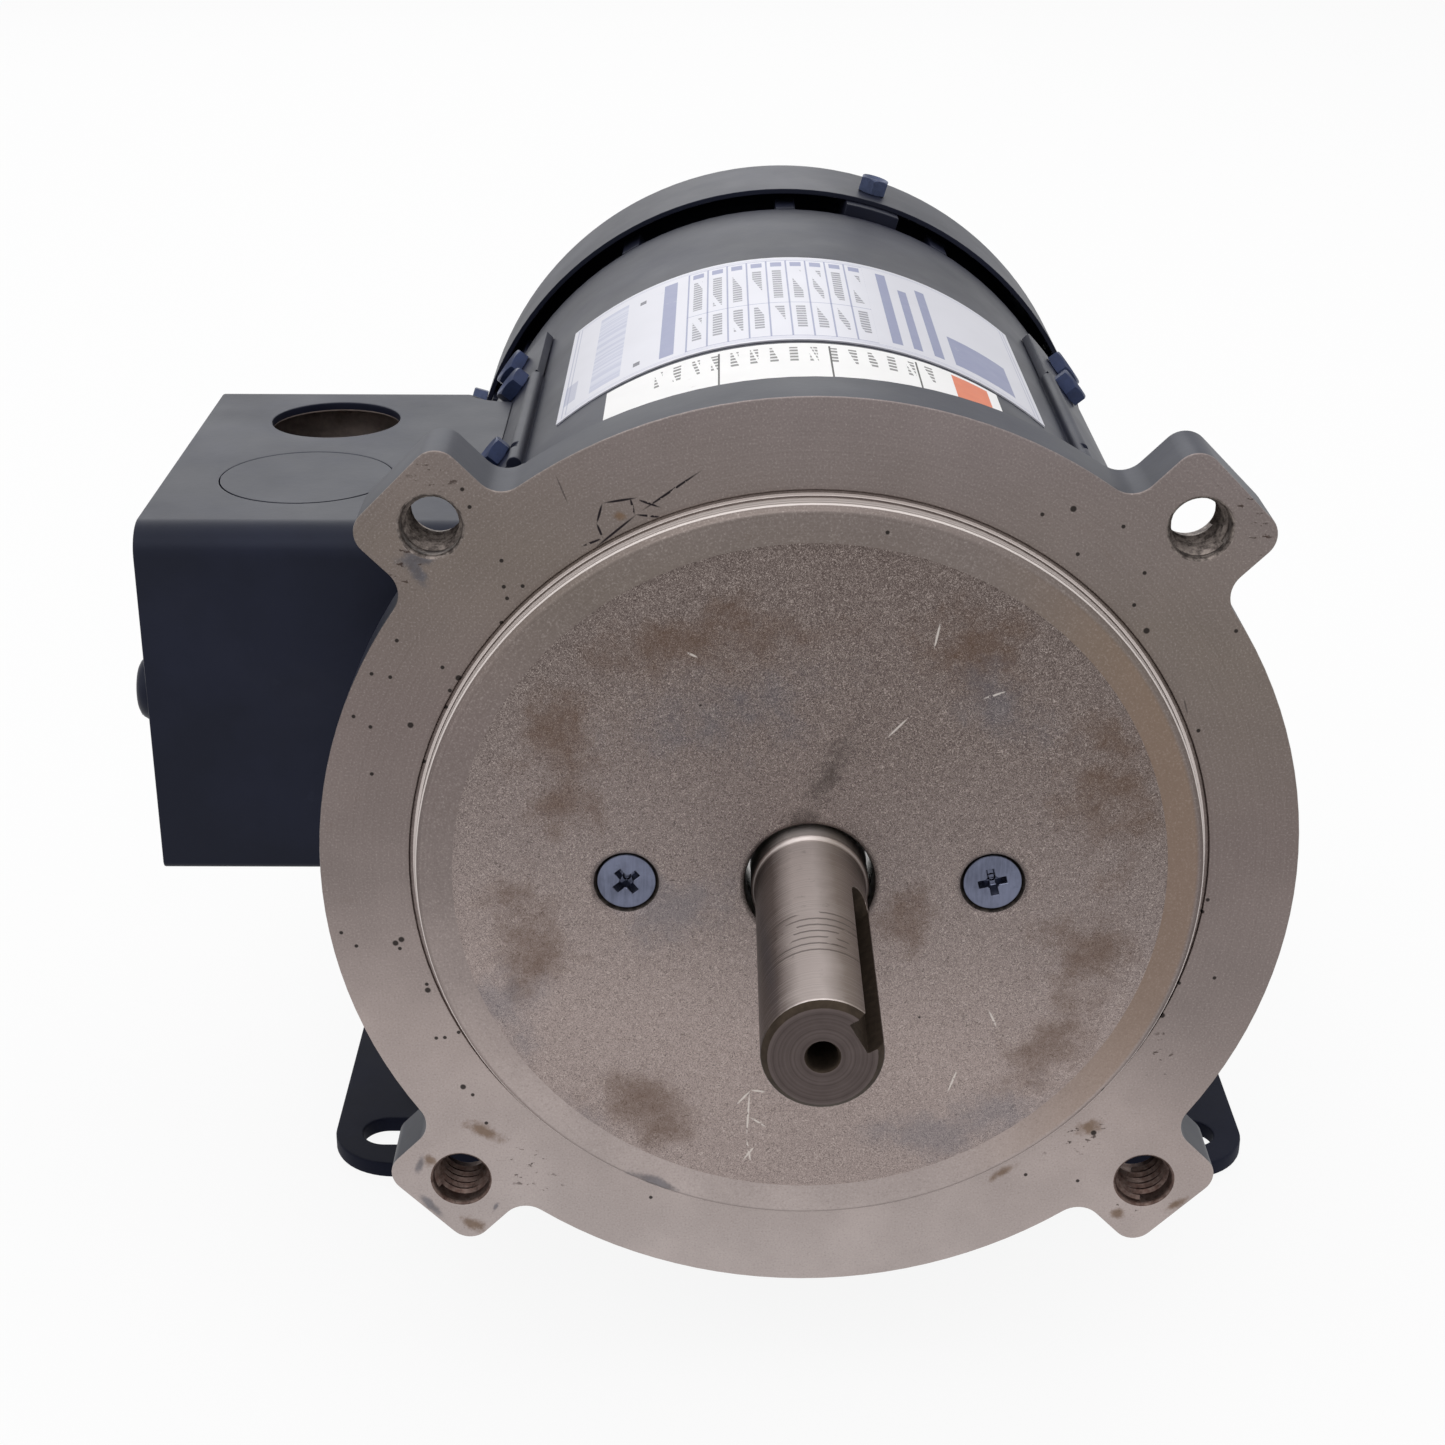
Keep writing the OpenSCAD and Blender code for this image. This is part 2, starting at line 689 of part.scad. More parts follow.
module brush_holder(clock) color(phenolic) radial(brush_at, clock) difference() {
    translate([0, 0, holder_start]) cylinder(r = holder_r, h = shell_r + holder_out - holder_start);
    translate([-brush_w / 2 - brush_gap, -brush_l / 2 - brush_gap, 0])
        cube([brush_w + 2 * brush_gap, brush_l + 2 * brush_gap, cap_bottom]);
    translate([0, 0, cap_bottom - 1]) cylinder(r = cap_thread_r + thread_gap, h = shell_r);
}

module brush(clock) color("#37383b") difference() {
    radial(brush_at, clock) translate([-brush_w / 2, -brush_l / 2, 0]) cube([brush_w, brush_l, brush_head]);
    on_axis(0) cylinder(r = brush_foot, h = shell_end);
}

module brush_spring(clock) color(steel) radial(brush_at, clock) translate([0, 0, brush_head + 0.1])
    coil_spring(cap_bottom - brush_head - 0.2);

module brush_cap(clock) color(phenolic) radial(brush_at, clock) translate([0, 0, cap_bottom]) difference() {
    union() {
        cylinder(r = cap_thread_r, h = cap_plug);
        translate([0, 0, cap_plug]) cylinder(r = cap_r, h = cap_head);
    }
    translate([-cap_r - cut, -0.9, cap_plug + cap_head - 1.4]) cube([2 * (cap_r + cut), 1.8, 1.4 + cut]);
}

module brush_holder_right() brush_holder(90);
module brush_holder_left() brush_holder(270);
module brush_right() brush(90);
module brush_left() brush(270);
module brush_spring_right() brush_spring(90);
module brush_spring_left() brush_spring(270);
module brush_cap_right() brush_cap(90);
module brush_cap_left() brush_cap(270);

// ---------------------------------------------------------------- rear end

rear_profile = [
    [bearing_r, shell_end + 1], [bearing_r, rear_wall], [fan_seat_r + 1.6, rear_wall],
    [fan_seat_r + 1.6, rear_wall + rear_wall_t], [bearing_r + 4, rear_wall + rear_wall_t],
    [bearing_r + 6, rear_wall + rear_wall_t - 2], [bearing_r + 6, shell_end + endbell_plate_t],
    [endbell_r - 2, shell_end + endbell_plate_t], [endbell_r, shell_end + endbell_plate_t - 2],
    [endbell_r, shell_end], [shell_in - seat_gap, shell_end], [shell_in - seat_gap, shell_end - spigot_l],
    [shell_in - spigot_wall, shell_end - spigot_l], [shell_in - spigot_wall, shell_end + 1]];
rib_w = 4;
boss_w = 11;
boss_l = 15;
ribs = [for (i = [0:11]) 30 * i];

module rear_endbell() color(paint) difference() {
    union() {
        on_axis(0) rotate_extrude() polygon(rear_profile);
        on_axis(shell_end) intersection() {
            union() {
                for (c = cover_clocks) rotate([0, 0, c]) translate([-boss_w / 2, -cover_r, 2])
                    cube([boss_w, cover_r - fan_r - 2, cover_screw_at - shell_end + boss_l / 2 - 2]);
                for (c = ribs) rotate([0, 0, c]) translate([-rib_w / 2, -shell_r, 1])
                    cube([rib_w, shell_r - endbell_r + 6, endbell_plate_t + 5]);
            }
            cylinder(r = cover_in - seat_gap, h = shell_l);
        }
    }
    for (c = cover_clocks) radial(cover_screw_at, c) translate([0, 0, cover_r - 11])
        cylinder(r = screw_shank_r + thread_gap, h = cover_r);
    for (c = through_clocks) clocked(shell_end - spigot_l - cut, c) translate([0, -through_r, 0])
        cylinder(r = through_shank_r + screw_gap, h = shell_end);
}

module wave_spring() color(steel) on_axis(rear_bearing + bearing_w + (wave_depth - spring_t) / 2)
    tube(bearing_r - 0.4, bearing_r - 3, spring_t);

module through_bolts() color(zinc) for (c = through_clocks)
    clocked(shell_end + endbell_plate_t, c) translate([0, -through_r, 0])
        hex_screw(hex_small, through_shank_r, shell_end + endbell_plate_t - pocket_floor - 2);

// Rings of air holes in the flat of the cover, each as [radius, number of holes]
grille_hole_r = 2.7;
grille_pitch = 8;
grille_rings = (cover_r - cover_corner_r - grille_hole_r - 2) / grille_pitch;
grille = [for (i = [3:1:grille_rings]) [i * grille_pitch, 4 * i]];

module fan_cover() color(paint) difference() {
    on_axis(cover_front) rotate_extrude() difference() {
        union() {
            square([cover_r, cover_l - cover_corner_r]);
            square([cover_r - cover_corner_r, cover_l]);
            translate([cover_r - cover_corner_r, cover_l - cover_corner_r]) circle(cover_corner_r);
        }
        translate([-cut, -cut]) square([cover_in + cut, cover_l - cover_corner_r + cut]);
        translate([-cut, -cut]) square([cover_r - cover_corner_r + cut, cover_l - cover_t + cut]);
        translate([cover_r - cover_corner_r, cover_l - cover_corner_r]) circle(cover_corner_r - cover_t);
        translate([-cover_r, -cut]) square([cover_r, cover_l + 2 * cut]);
    }
    for (ring = grille, i = [0:ring[1] - 1]) clocked(cover_end - 2 * cover_t, 360 / ring[1] * i)
        translate([0, -ring[0], 0]) cylinder(r = grille_hole_r, h = 4 * cover_t);
    for (c = cover_clocks) radial(cover_screw_at, c) translate([0, 0, cover_r - 11])
        cylinder(r = screw_shank_r + screw_gap, h = cover_r);
}

module cover_screws() color(paint) for (c = cover_clocks)
    radial(cover_screw_at, c) translate([0, 0, cover_r + seat_gap])
        plain_screw(hex_cover, cover_head_h, screw_shank_r, 9);

// ---------------------------------------------------------------- side pads

bead_gap_at = 6.5;
bead_gap_w = 2.4;

// Curved steel pad with a bead along its upper edge; side is 1 on the right and -1 on the left
module side_pad(side) color(paint) difference() {
    union() {
        on_axis(pad_front) sector(shell_r + seat_gap, pad_r, side * pad_from, side * pad_to, pad_l);
        difference() {
            clocked(pad_front, side * pad_bead_clock) translate([0, pad_bead_r - pad_r - 0.5, 0])
                cylinder(r = pad_bead_r, h = pad_bead_l);
            on_axis(pad_front - cut) cylinder(r = shell_r + seat_gap, h = pad_l);
            on_axis(pad_front + bead_gap_at) difference() {
                cylinder(r = 2 * pad_r, h = bead_gap_w);
                translate([0, 0, -cut]) cylinder(r = pad_r, h = bead_gap_w + 2 * cut);
            }
        }
    }
    brush_openings(cap_r + 2.4);
    pad_screw_holes(pad_shank_r + screw_gap);
    if (side < 0) {
        box_bolt_holes(screw_shank_r + screw_gap);
        lead_hole(lead_hole_r);
    }
}

module side_pad_right() side_pad(1);
module side_pad_left() side_pad(-1);

module pad_screws() color(paint) for (p = pad_screw_places)
    radial(p[0], p[1]) translate([0, 0, pad_r + seat_gap])
        if (p[0] == pad_stud_station) plain_screw(hex_stud, stud_head_h, pad_shank_r, pad_t + 4);
        else plain_screw(hex_pad, pad_head_h, pad_shank_r, pad_t + 4);

// ---------------------------------------------------------------- conduit box

// Outline of the box seen along X: local x is the motor's Y, local y is up
module box_outline(inset) {
    w = box_l - 2 * inset;
    h = box_h - 2 * inset;
    r = max(box_bend_r - inset, 0.5);
    q = max(box_low_r - inset, 0.8);
    difference() {
        union() {
            translate([-w / 2 + q, -h / 2]) square([w - 2 * q, h - r]);
            translate([-w / 2, -h / 2 + q]) square([w, h - r - q]);
            translate([-w / 2 + r, h / 2 - 2 * r]) square([w - 2 * r, 2 * r]);
            for (x = [-1, 1]) {
                translate([x * (w / 2 - r), h / 2 - r]) circle(r);
                translate([x * (w / 2 - q), -h / 2 + q]) circle(q);
            }
        }
    }
}

// Extrudes an outline of the box from x = from, by l towards the motor
module box_prism(from, l) translate([from, box_centre_y, shaft_height + box_mid])
    rotate([90, 0, 90]) linear_extrude(l) children();

module lid_screw_places() for (s = [-1, 1])
    translate([box_x, box_centre_y + s * (box_l / 2 - tab_inset), shaft_height + box_mid])
        rotate([0, 90, 0]) children();

lid_shank_r = 2;

module conduit_box() color(paint) difference() {
    union() {
        difference() {
            box_prism(box_x, -box_x) difference() {
                box_outline(0);
                box_outline(box_t);
            }
            box_prism(box_open, box_t) difference() {
                box_outline(box_t / 2);
                box_outline(box_t + ledge_w);
            }
            on_axis(0) cylinder(r = shell_r + seat_gap, h = shell_end);
            on_axis(pad_front - run_gap) cylinder(r = box_seat_r, h = shell_end);
        }
        intersection() {
            box_prism(box_open, -box_open - shell_r / 2) box_outline(0.5);
            on_axis(box_front - cut) tube(box_seat_r + box_t, box_seat_r, box_l + 2 * cut);
        }
        for (s = [-1, 1]) translate([box_open, box_centre_y + s * (box_l / 2 - tab_inset) - tab_w / 2,
            shaft_height + box_mid - tab_w / 2])
                cube([tab_t, tab_w + (s > 0 ? tab_inset - tab_w / 2 - box_t / 2 : 0), tab_w]);
        translate([box_open, face_y + box_front + box_t / 2, shaft_height + box_mid - tab_w / 2])
            cube([tab_t, tab_inset, tab_w]);
    }
    translate([knockout_x, face_y + knockout_front, shaft_height + box_top - 3 * box_t])
        cylinder(r = knockout_d / 2, h = 6 * box_t);
    translate([knockout_x, face_y + blank_front, shaft_height + box_top - 3 * box_t])
        cylinder(r = blank_knockout_d / 2, h = 6 * box_t);
    lid_screw_places() cylinder(r = lid_shank_r + thread_gap, h = tab_t + 6);
    for (d = pad_stations) radial(d, -pad_screw_clock) cylinder(r = pad_notch_r, h = shell_d);
    box_bolt_holes(screw_shank_r + screw_gap);
    radial(ground_station, -90) translate([0, 0, pad_r - 0.5])
        cylinder(r = screw_shank_r + thread_gap, h = 6);
    lead_hole(lead_hole_r);
}

// Closed knockout, held by two small tabs in its kerf
module blank_knockout() color(paint)
    translate([knockout_x, face_y + blank_front, shaft_height + box_top - box_t]) intersection() {
        linear_extrude(box_t) {
            circle(blank_knockout_d / 2 - knockout_kerf);
            square([blank_knockout_d + 1, 1.6], center = true);
        }
        cylinder(r = blank_knockout_d / 2 - seat_gap, h = box_t);
    }

module lid_gasket() color(rubber) difference() {
    box_prism(box_x + lid_t, gasket_t) difference() {
        box_outline(box_t + run_gap);
        box_outline(box_t + ledge_w);
        for (s = [-1, 1]) translate([s * (box_l / 2 - tab_inset), 0]) circle(lid_shank_r + screw_gap);
    }
}

module conduit_lid() color(paint) difference() {
    box_prism(box_x, lid_t) box_outline(box_t + run_gap);
    lid_screw_places() translate([0, 0, -cut]) cylinder(r = lid_shank_r + screw_gap, h = lid_t + 2 * cut);
}

module lid_screws() color(zinc) lid_screw_places() difference() {
    union() {
        translate([0, 0, -1.1]) cylinder(r = 5.2, h = 1.1);
        translate([0, 0, -2.4]) cylinder(r1 = 3.4, r2 = 5.2, h = 1.3);
        cylinder(r = lid_shank_r, h = tab_t);
    }
    translate([-0.6, -4, -2.4 - cut]) cube([1.2, 8, 1.2 + cut]);
}

module box_bolts() color(zinc) for (d = box_bolt_stations)
    radial(d, -90) translate([0, 0, box_seat_r + box_t])
        hex_screw(hex_small, screw_shank_r, box_t + pad_t + 4);

module ground_screw() color("green") radial(ground_station, -90)
    translate([0, 0, box_seat_r + box_t]) hex_screw(hex_small, screw_shank_r, box_t);

grommet_wall = 1.6;
lead_r = 1.7;
lead_apart = 4.4;
lead_bend_r = 8;
lead_rise = 10;
lead_run = 26;

module lead_grommet() color(rubber) radial(lead_station, lead_clock) difference() {
    union() {
        translate([0, 0, shell_in + 1])
            cylinder(r = lead_hole_r - seat_gap, h = box_seat_r + box_t - shell_in);
        translate([0, 0, box_seat_r + box_t + 0.2]) cylinder(r = lead_hole_r + 2, h = 1.6);
    }
    for (s = [-1, 1]) translate([s * lead_apart / 2, 0, shell_in])
        cylinder(r = lead_r + seat_gap, h = shell_r);
}

// Two leads that leave the grommet, turn to the front and end in a sleeve
module motor_leads() for (s = [-1, 1]) color(s > 0 ? "#8a2b22" : "#26272a")
    radial(lead_station, lead_clock) translate([s * lead_apart / 2, 0, 0]) {
        top = box_seat_r + box_t + lead_rise;
        translate([0, 0, shell_in - 2.5]) cylinder(r = lead_r, h = top - shell_in + 2.5);
        translate([0, -lead_bend_r, top]) rotate([90, 0, 90]) intersection() {
            rotate_extrude() translate([lead_bend_r, 0]) circle(lead_r, $fn = 24);
            translate([0, 0, -lead_r - cut]) cube([2 * lead_bend_r, 2 * lead_bend_r, 2 * (lead_r + cut)]);
        }
        translate([0, -lead_bend_r, top + lead_bend_r]) rotate([90, 0, 0]) {
            cylinder(r = lead_r, h = lead_run);
            translate([0, 0, lead_run - 9]) cylinder(r = lead_r + 0.35, h = 9);
        }
    }

// ---------------------------------------------------------------- base

module foot_slots() for (x = [-1, 1], y = [-1, 1])
    translate([x * foot_span_x / 2, y * foot_span_y / 2]) slot(slot_l, slot_w);

// Front outline of a cheek: x, height
cheek_outline = [[-cheek_half, 0], [cheek_half, 0], [cheek_half - 0.5, base_t + 7],
    [cheek_half - 4.5, base_t + 10.5],
    [cheek_half - 18, base_t + 22], [shell_r * 0.72, shaft_height - shell_r * 0.72],
    [-shell_r * 0.72, shaft_height - shell_r * 0.72], [18 - cheek_half, base_t + 22],
    [4.5 - cheek_half, base_t + 10.5], [0.5 - cheek_half, base_t + 7]];

module base() color(paint) difference() {
    union() {
        linear_extrude(base_t) rounded(base_w, base_l, base_corner_r);
        for (s = [-1, 1]) {
            translate([0, s * (base_l / 2 - base_t / 2) + base_t / 2, 0]) rotate([90, 0, 0])
                linear_extrude(base_t) polygon(cheek_outline);
            on_axis(s * base_screw_y - face_y - saddle_w / 2 - (s < 0 ? base_t : 0))
                sector(shell_r + seat_gap, saddle_r, 180 - saddle_half, 180 + saddle_half, saddle_w + base_t);
        }
    }
    translate([0, 0, -cut]) linear_extrude(base_t + 2 * cut) foot_slots();
    on_axis(flange_t) cylinder(r = shell_r + seat_gap, h = shell_l);
    base_screw_holes(screw_shank_r + screw_gap);
}

module base_screws() color(zinc) for (s = [-1, 1], c = [-1, 1])
    radial(s * base_screw_y - face_y, 180 + c * base_screw_clock)
        translate([0, 0, saddle_r]) hex_screw(hex_small, screw_shank_r, saddle_t + 4);

// ---------------------------------------------------------------- labels

module nameplate() color(label_silver) on_axis(nameplate_front)
    sector(shell_r + 0.02, shell_r + label_t, -nameplate_half, nameplate_half, nameplate_l);

module connection_label() color("white") on_axis(connection_front)
    sector(shell_r + 0.02, shell_r + label_t, -connection_half, connection_half, connection_l);

// ---------------------------------------------------------------- assembly

drive_endbell();
shell();
magnet_top();
magnet_bottom();
magnet_clips();
shaft();
armature_core();
core_insulators();
armature_coils();
commutator_hub();
commutator_bars();
bearing_outer(front_bearing);  // front_bearing_outer
bearing_balls(front_bearing);  // front_bearing_balls
bearing_inner(front_bearing);  // front_bearing_inner
bearing_shields(front_bearing);  // front_bearing_shields
bearing_outer(rear_bearing);  // rear_bearing_outer
bearing_balls(rear_bearing);  // rear_bearing_balls
bearing_inner(rear_bearing);  // rear_bearing_inner
bearing_shields(rear_bearing);  // rear_bearing_shields
bearing_retainer();
retainer_screws();
wave_spring();
rear_endbell();
through_bolts();
brush_holder_right();
brush_holder_left();
brush_right();
brush_left();
brush_spring_right();
brush_spring_left();
brush_cap_right();
brush_cap_left();
fan();
fan_clip();
fan_cover();
cover_screws();
side_pad_right();
side_pad_left();
pad_screws();
conduit_box();
blank_knockout();
lid_gasket();
conduit_lid();
lid_screws();
box_bolts();
ground_screw();
lead_grommet();
motor_leads();
base();
base_screws();
nameplate();
connection_label();
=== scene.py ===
import json
import math

import bpy
from bpy.props import FloatProperty, FloatVectorProperty, IntProperty, PointerProperty
from mathutils import Matrix, Vector


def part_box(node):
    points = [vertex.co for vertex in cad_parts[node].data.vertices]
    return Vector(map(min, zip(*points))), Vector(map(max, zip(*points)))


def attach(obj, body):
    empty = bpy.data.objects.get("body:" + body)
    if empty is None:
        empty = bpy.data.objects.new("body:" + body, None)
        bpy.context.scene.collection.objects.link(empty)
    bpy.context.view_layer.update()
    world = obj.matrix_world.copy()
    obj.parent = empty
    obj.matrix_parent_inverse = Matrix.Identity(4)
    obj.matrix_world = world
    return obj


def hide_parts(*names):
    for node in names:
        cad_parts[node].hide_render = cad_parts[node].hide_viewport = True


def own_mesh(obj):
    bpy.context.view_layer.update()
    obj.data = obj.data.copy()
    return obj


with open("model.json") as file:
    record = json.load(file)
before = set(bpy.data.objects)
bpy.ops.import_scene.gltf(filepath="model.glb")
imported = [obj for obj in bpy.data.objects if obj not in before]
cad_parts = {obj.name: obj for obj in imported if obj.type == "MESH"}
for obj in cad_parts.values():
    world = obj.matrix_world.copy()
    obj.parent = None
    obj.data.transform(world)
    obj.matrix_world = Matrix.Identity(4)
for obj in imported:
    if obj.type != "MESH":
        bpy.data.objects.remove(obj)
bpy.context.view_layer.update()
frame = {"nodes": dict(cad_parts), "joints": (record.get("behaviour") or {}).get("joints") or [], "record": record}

bl_info = {
    "name": "Foot-mounted face motor",
    "version": (1, 0, 0),
    "blender": (4, 5, 0),
    "location": "3D View > Sidebar > Motor",
    "description": "Builds the looks of an enclosed brush motor around its packed frame",
    "category": "Object",
}

# ---------------------------------------------------------------- the frame's own sizes

MM = 0.001
NODES = frame["nodes"]
MOUNTS = {mount["name"]: mount for mount in frame["record"]["mounts"]}
SLOT_OF = {part["node"]: part["material_slot"] for part in frame["record"]["subparts"]}
BODY_OF = {node: body for body, nodes in frame["record"]["behaviour"]["bodies"].items() for node in nodes}

AXIS_Z = MOUNTS["register"]["pos_m"][2]
FACE_Y = MOUNTS["mounting_face"]["pos_m"][1]
REGISTER_R = MOUNTS["register"]["dims"]["r_mm"]
BOLT_R = MOUNTS["face_holes"]["dims"]["pcd_mm"] / 2
TAPPED_R = MOUNTS["face_holes"]["dims"]["hole_r_mm"]
SHAFT_R = MOUNTS["shaft_end"]["dims"]["r_mm"]
SHELL_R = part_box("shell")[1].x / MM
SHAFT_END = (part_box("shaft")[0].y - FACE_Y) / MM
FACE_OUT = (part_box("drive_endbell")[0].y - FACE_Y) / MM
FLANGE_END = (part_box("shell")[0].y - FACE_Y) / MM
LEADS_Z = sum(corner.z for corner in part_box("motor_leads")) / 2

# ---------------------------------------------------------------- what a user would change


def linear(code):
    """The linear colour of a written one, such as 22283a."""
    parts = [int(code[i:i + 2], 16) / 255 for i in (0, 2, 4)]
    return tuple(p / 12.92 if p <= 0.04045 else ((p + 0.055) / 1.055) ** 2.4 for p in parts)


def colour(name, code, description):
    return FloatVectorProperty(name=name, description=description, subtype="COLOR", size=3, min=0, max=1,
                               default=linear(code))


def length(name, millimetres, description):
    return FloatProperty(name=name, description=description, subtype="DISTANCE", unit="LENGTH", min=0,
                         default=millimetres * MM, precision=5)


class MotorSizes(bpy.types.PropertyGroup):
    """Sizes of the pieces that are modelled here."""

    edge_round: length("Edge rounding", 0.3, "Radius of the broken edges of castings and sheet")
    thread_pitch: length("Thread pitch", 1.5875, "Pitch of the thread in the ears")
    thread_depth: length("Thread depth", 0.52, "Height of the thread's ridge in the ears")
    screw_flats: length("Hex screw flats", 7.9, "Width across the flats of the hex washer screws")
    screw_washer: length("Washer thickness", 0.8, "Thickness of the hex washer screws' washers")
    pad_flats: length("Pad screw flats", 6, "Width across the flats of the side pads' small screws")
    stud_flats: length("Stud flats", 7, "Width across the flats of the side pads' rear screws")
    cover_flats: length("Cover screw flats", 5.4, "Width across the flats of the fan cover's screws")
    recess_width: length("Recess width", 1.25, "Width of the cross recess in the face screws")
    recess_length: length("Recess length", 5.2, "Length of the cross recess in the face screws")
    recess_turn: FloatProperty(name="Recess turn", subtype="ANGLE", unit="ROTATION", default=math.radians(13),
                               description="How far the right face screw's recess is turned from upright")
    round_sides: IntProperty(name="Round sides", description="Sides of a round screw head", default=48,
                             min=12, max=96)


class MotorColours(bpy.types.PropertyGroup):
    """Colours of the finishes."""

    paint: colour("Paint", "141624", "Blue-black satin paint")
    gloss: colour("Paint gloss", "e2eaff", "Tint of the paint's gloss")
    face: colour("Turned face", "b9aeaa", "Turned ring and register of the drive end")
    stain: colour("Stain", "5d4636", "Old oil and rust on the face")
    zinc: colour("Zinc", "666a7c", "Bluish zinc plate on the screws")
    silver: colour("Silver label", "c9c9d2", "Ground of the silver label")
    ink: colour("Label ink", "3a4a86", "Blue rules and blocks on the silver label")
    sticker: colour("White label", "efeeee", "Ground of the white label")
    patch: colour("Orange patch", "dd7a55", "Patch at the end of the white label")


class MotorStudio(bpy.types.PropertyGroup):
    """Light and floor."""

    key_power: FloatProperty(name="Overhead lamp", description="Power of the lamp above the motor", default=9,
                             min=0, unit="POWER")
    back_power: FloatProperty(name="Back lamp", description="Power of the lamp behind the motor", default=5,
                              min=0, unit="POWER")
    front_power: FloatProperty(name="Front lamp", description="Power of the small lamp above the shaft end",
                               default=2.5, min=0, unit="POWER")
    side_power: FloatProperty(name="Left lamp", description="Power of the lamp at the left of the shaft end",
                              default=1.5, min=0, unit="POWER")
    sky: FloatProperty(name="Room light", description="Strength of the even light of the room", default=0.5,
                       min=0)
    floor: colour("Floor", "f2f2f3", "Pale floor")


# ---------------------------------------------------------------- shader maths


class Value:
    """A node's output with arithmetic, so that a mask reads as a plain expression."""

    def __init__(self, finish, socket):
        self.finish, self.socket = finish, socket

    def math(self, operation, *values):
        return self.finish.node("ShaderNodeMath", {"operation": operation}, dict(enumerate(values)))

    def __add__(self, other):
        return self.math("ADD", self, other)

    def __sub__(self, other):
        return self.math("SUBTRACT", self, other)

    def __rsub__(self, other):
        return self.math("SUBTRACT", other, self)

    def __mul__(self, other):
        return self.math("MULTIPLY", self, other)

    def __truediv__(self, other):
        return self.math("DIVIDE", self, other)

    def __mod__(self, other):
        return self.math("FLOORED_MODULO", self, other)

    def __lt__(self, other):
        return self.math("LESS_THAN", self, other)

    def __gt__(self, other):
        return self.math("GREATER_THAN", self, other)

    def __abs__(self):
        return self.math("ABSOLUTE", self)

    __radd__ = __add__
    __rmul__ = __mul__

    def root(self):
        return self.math("SQRT", self)

    def least(self, other):
        return self.math("MINIMUM", self, other)

    def most(self, other):
        return self.math("MAXIMUM", self, other)

    def between(self, low, high):
        """1 where the value lies between the two, else 0."""
        return (self > low) * (self < high)


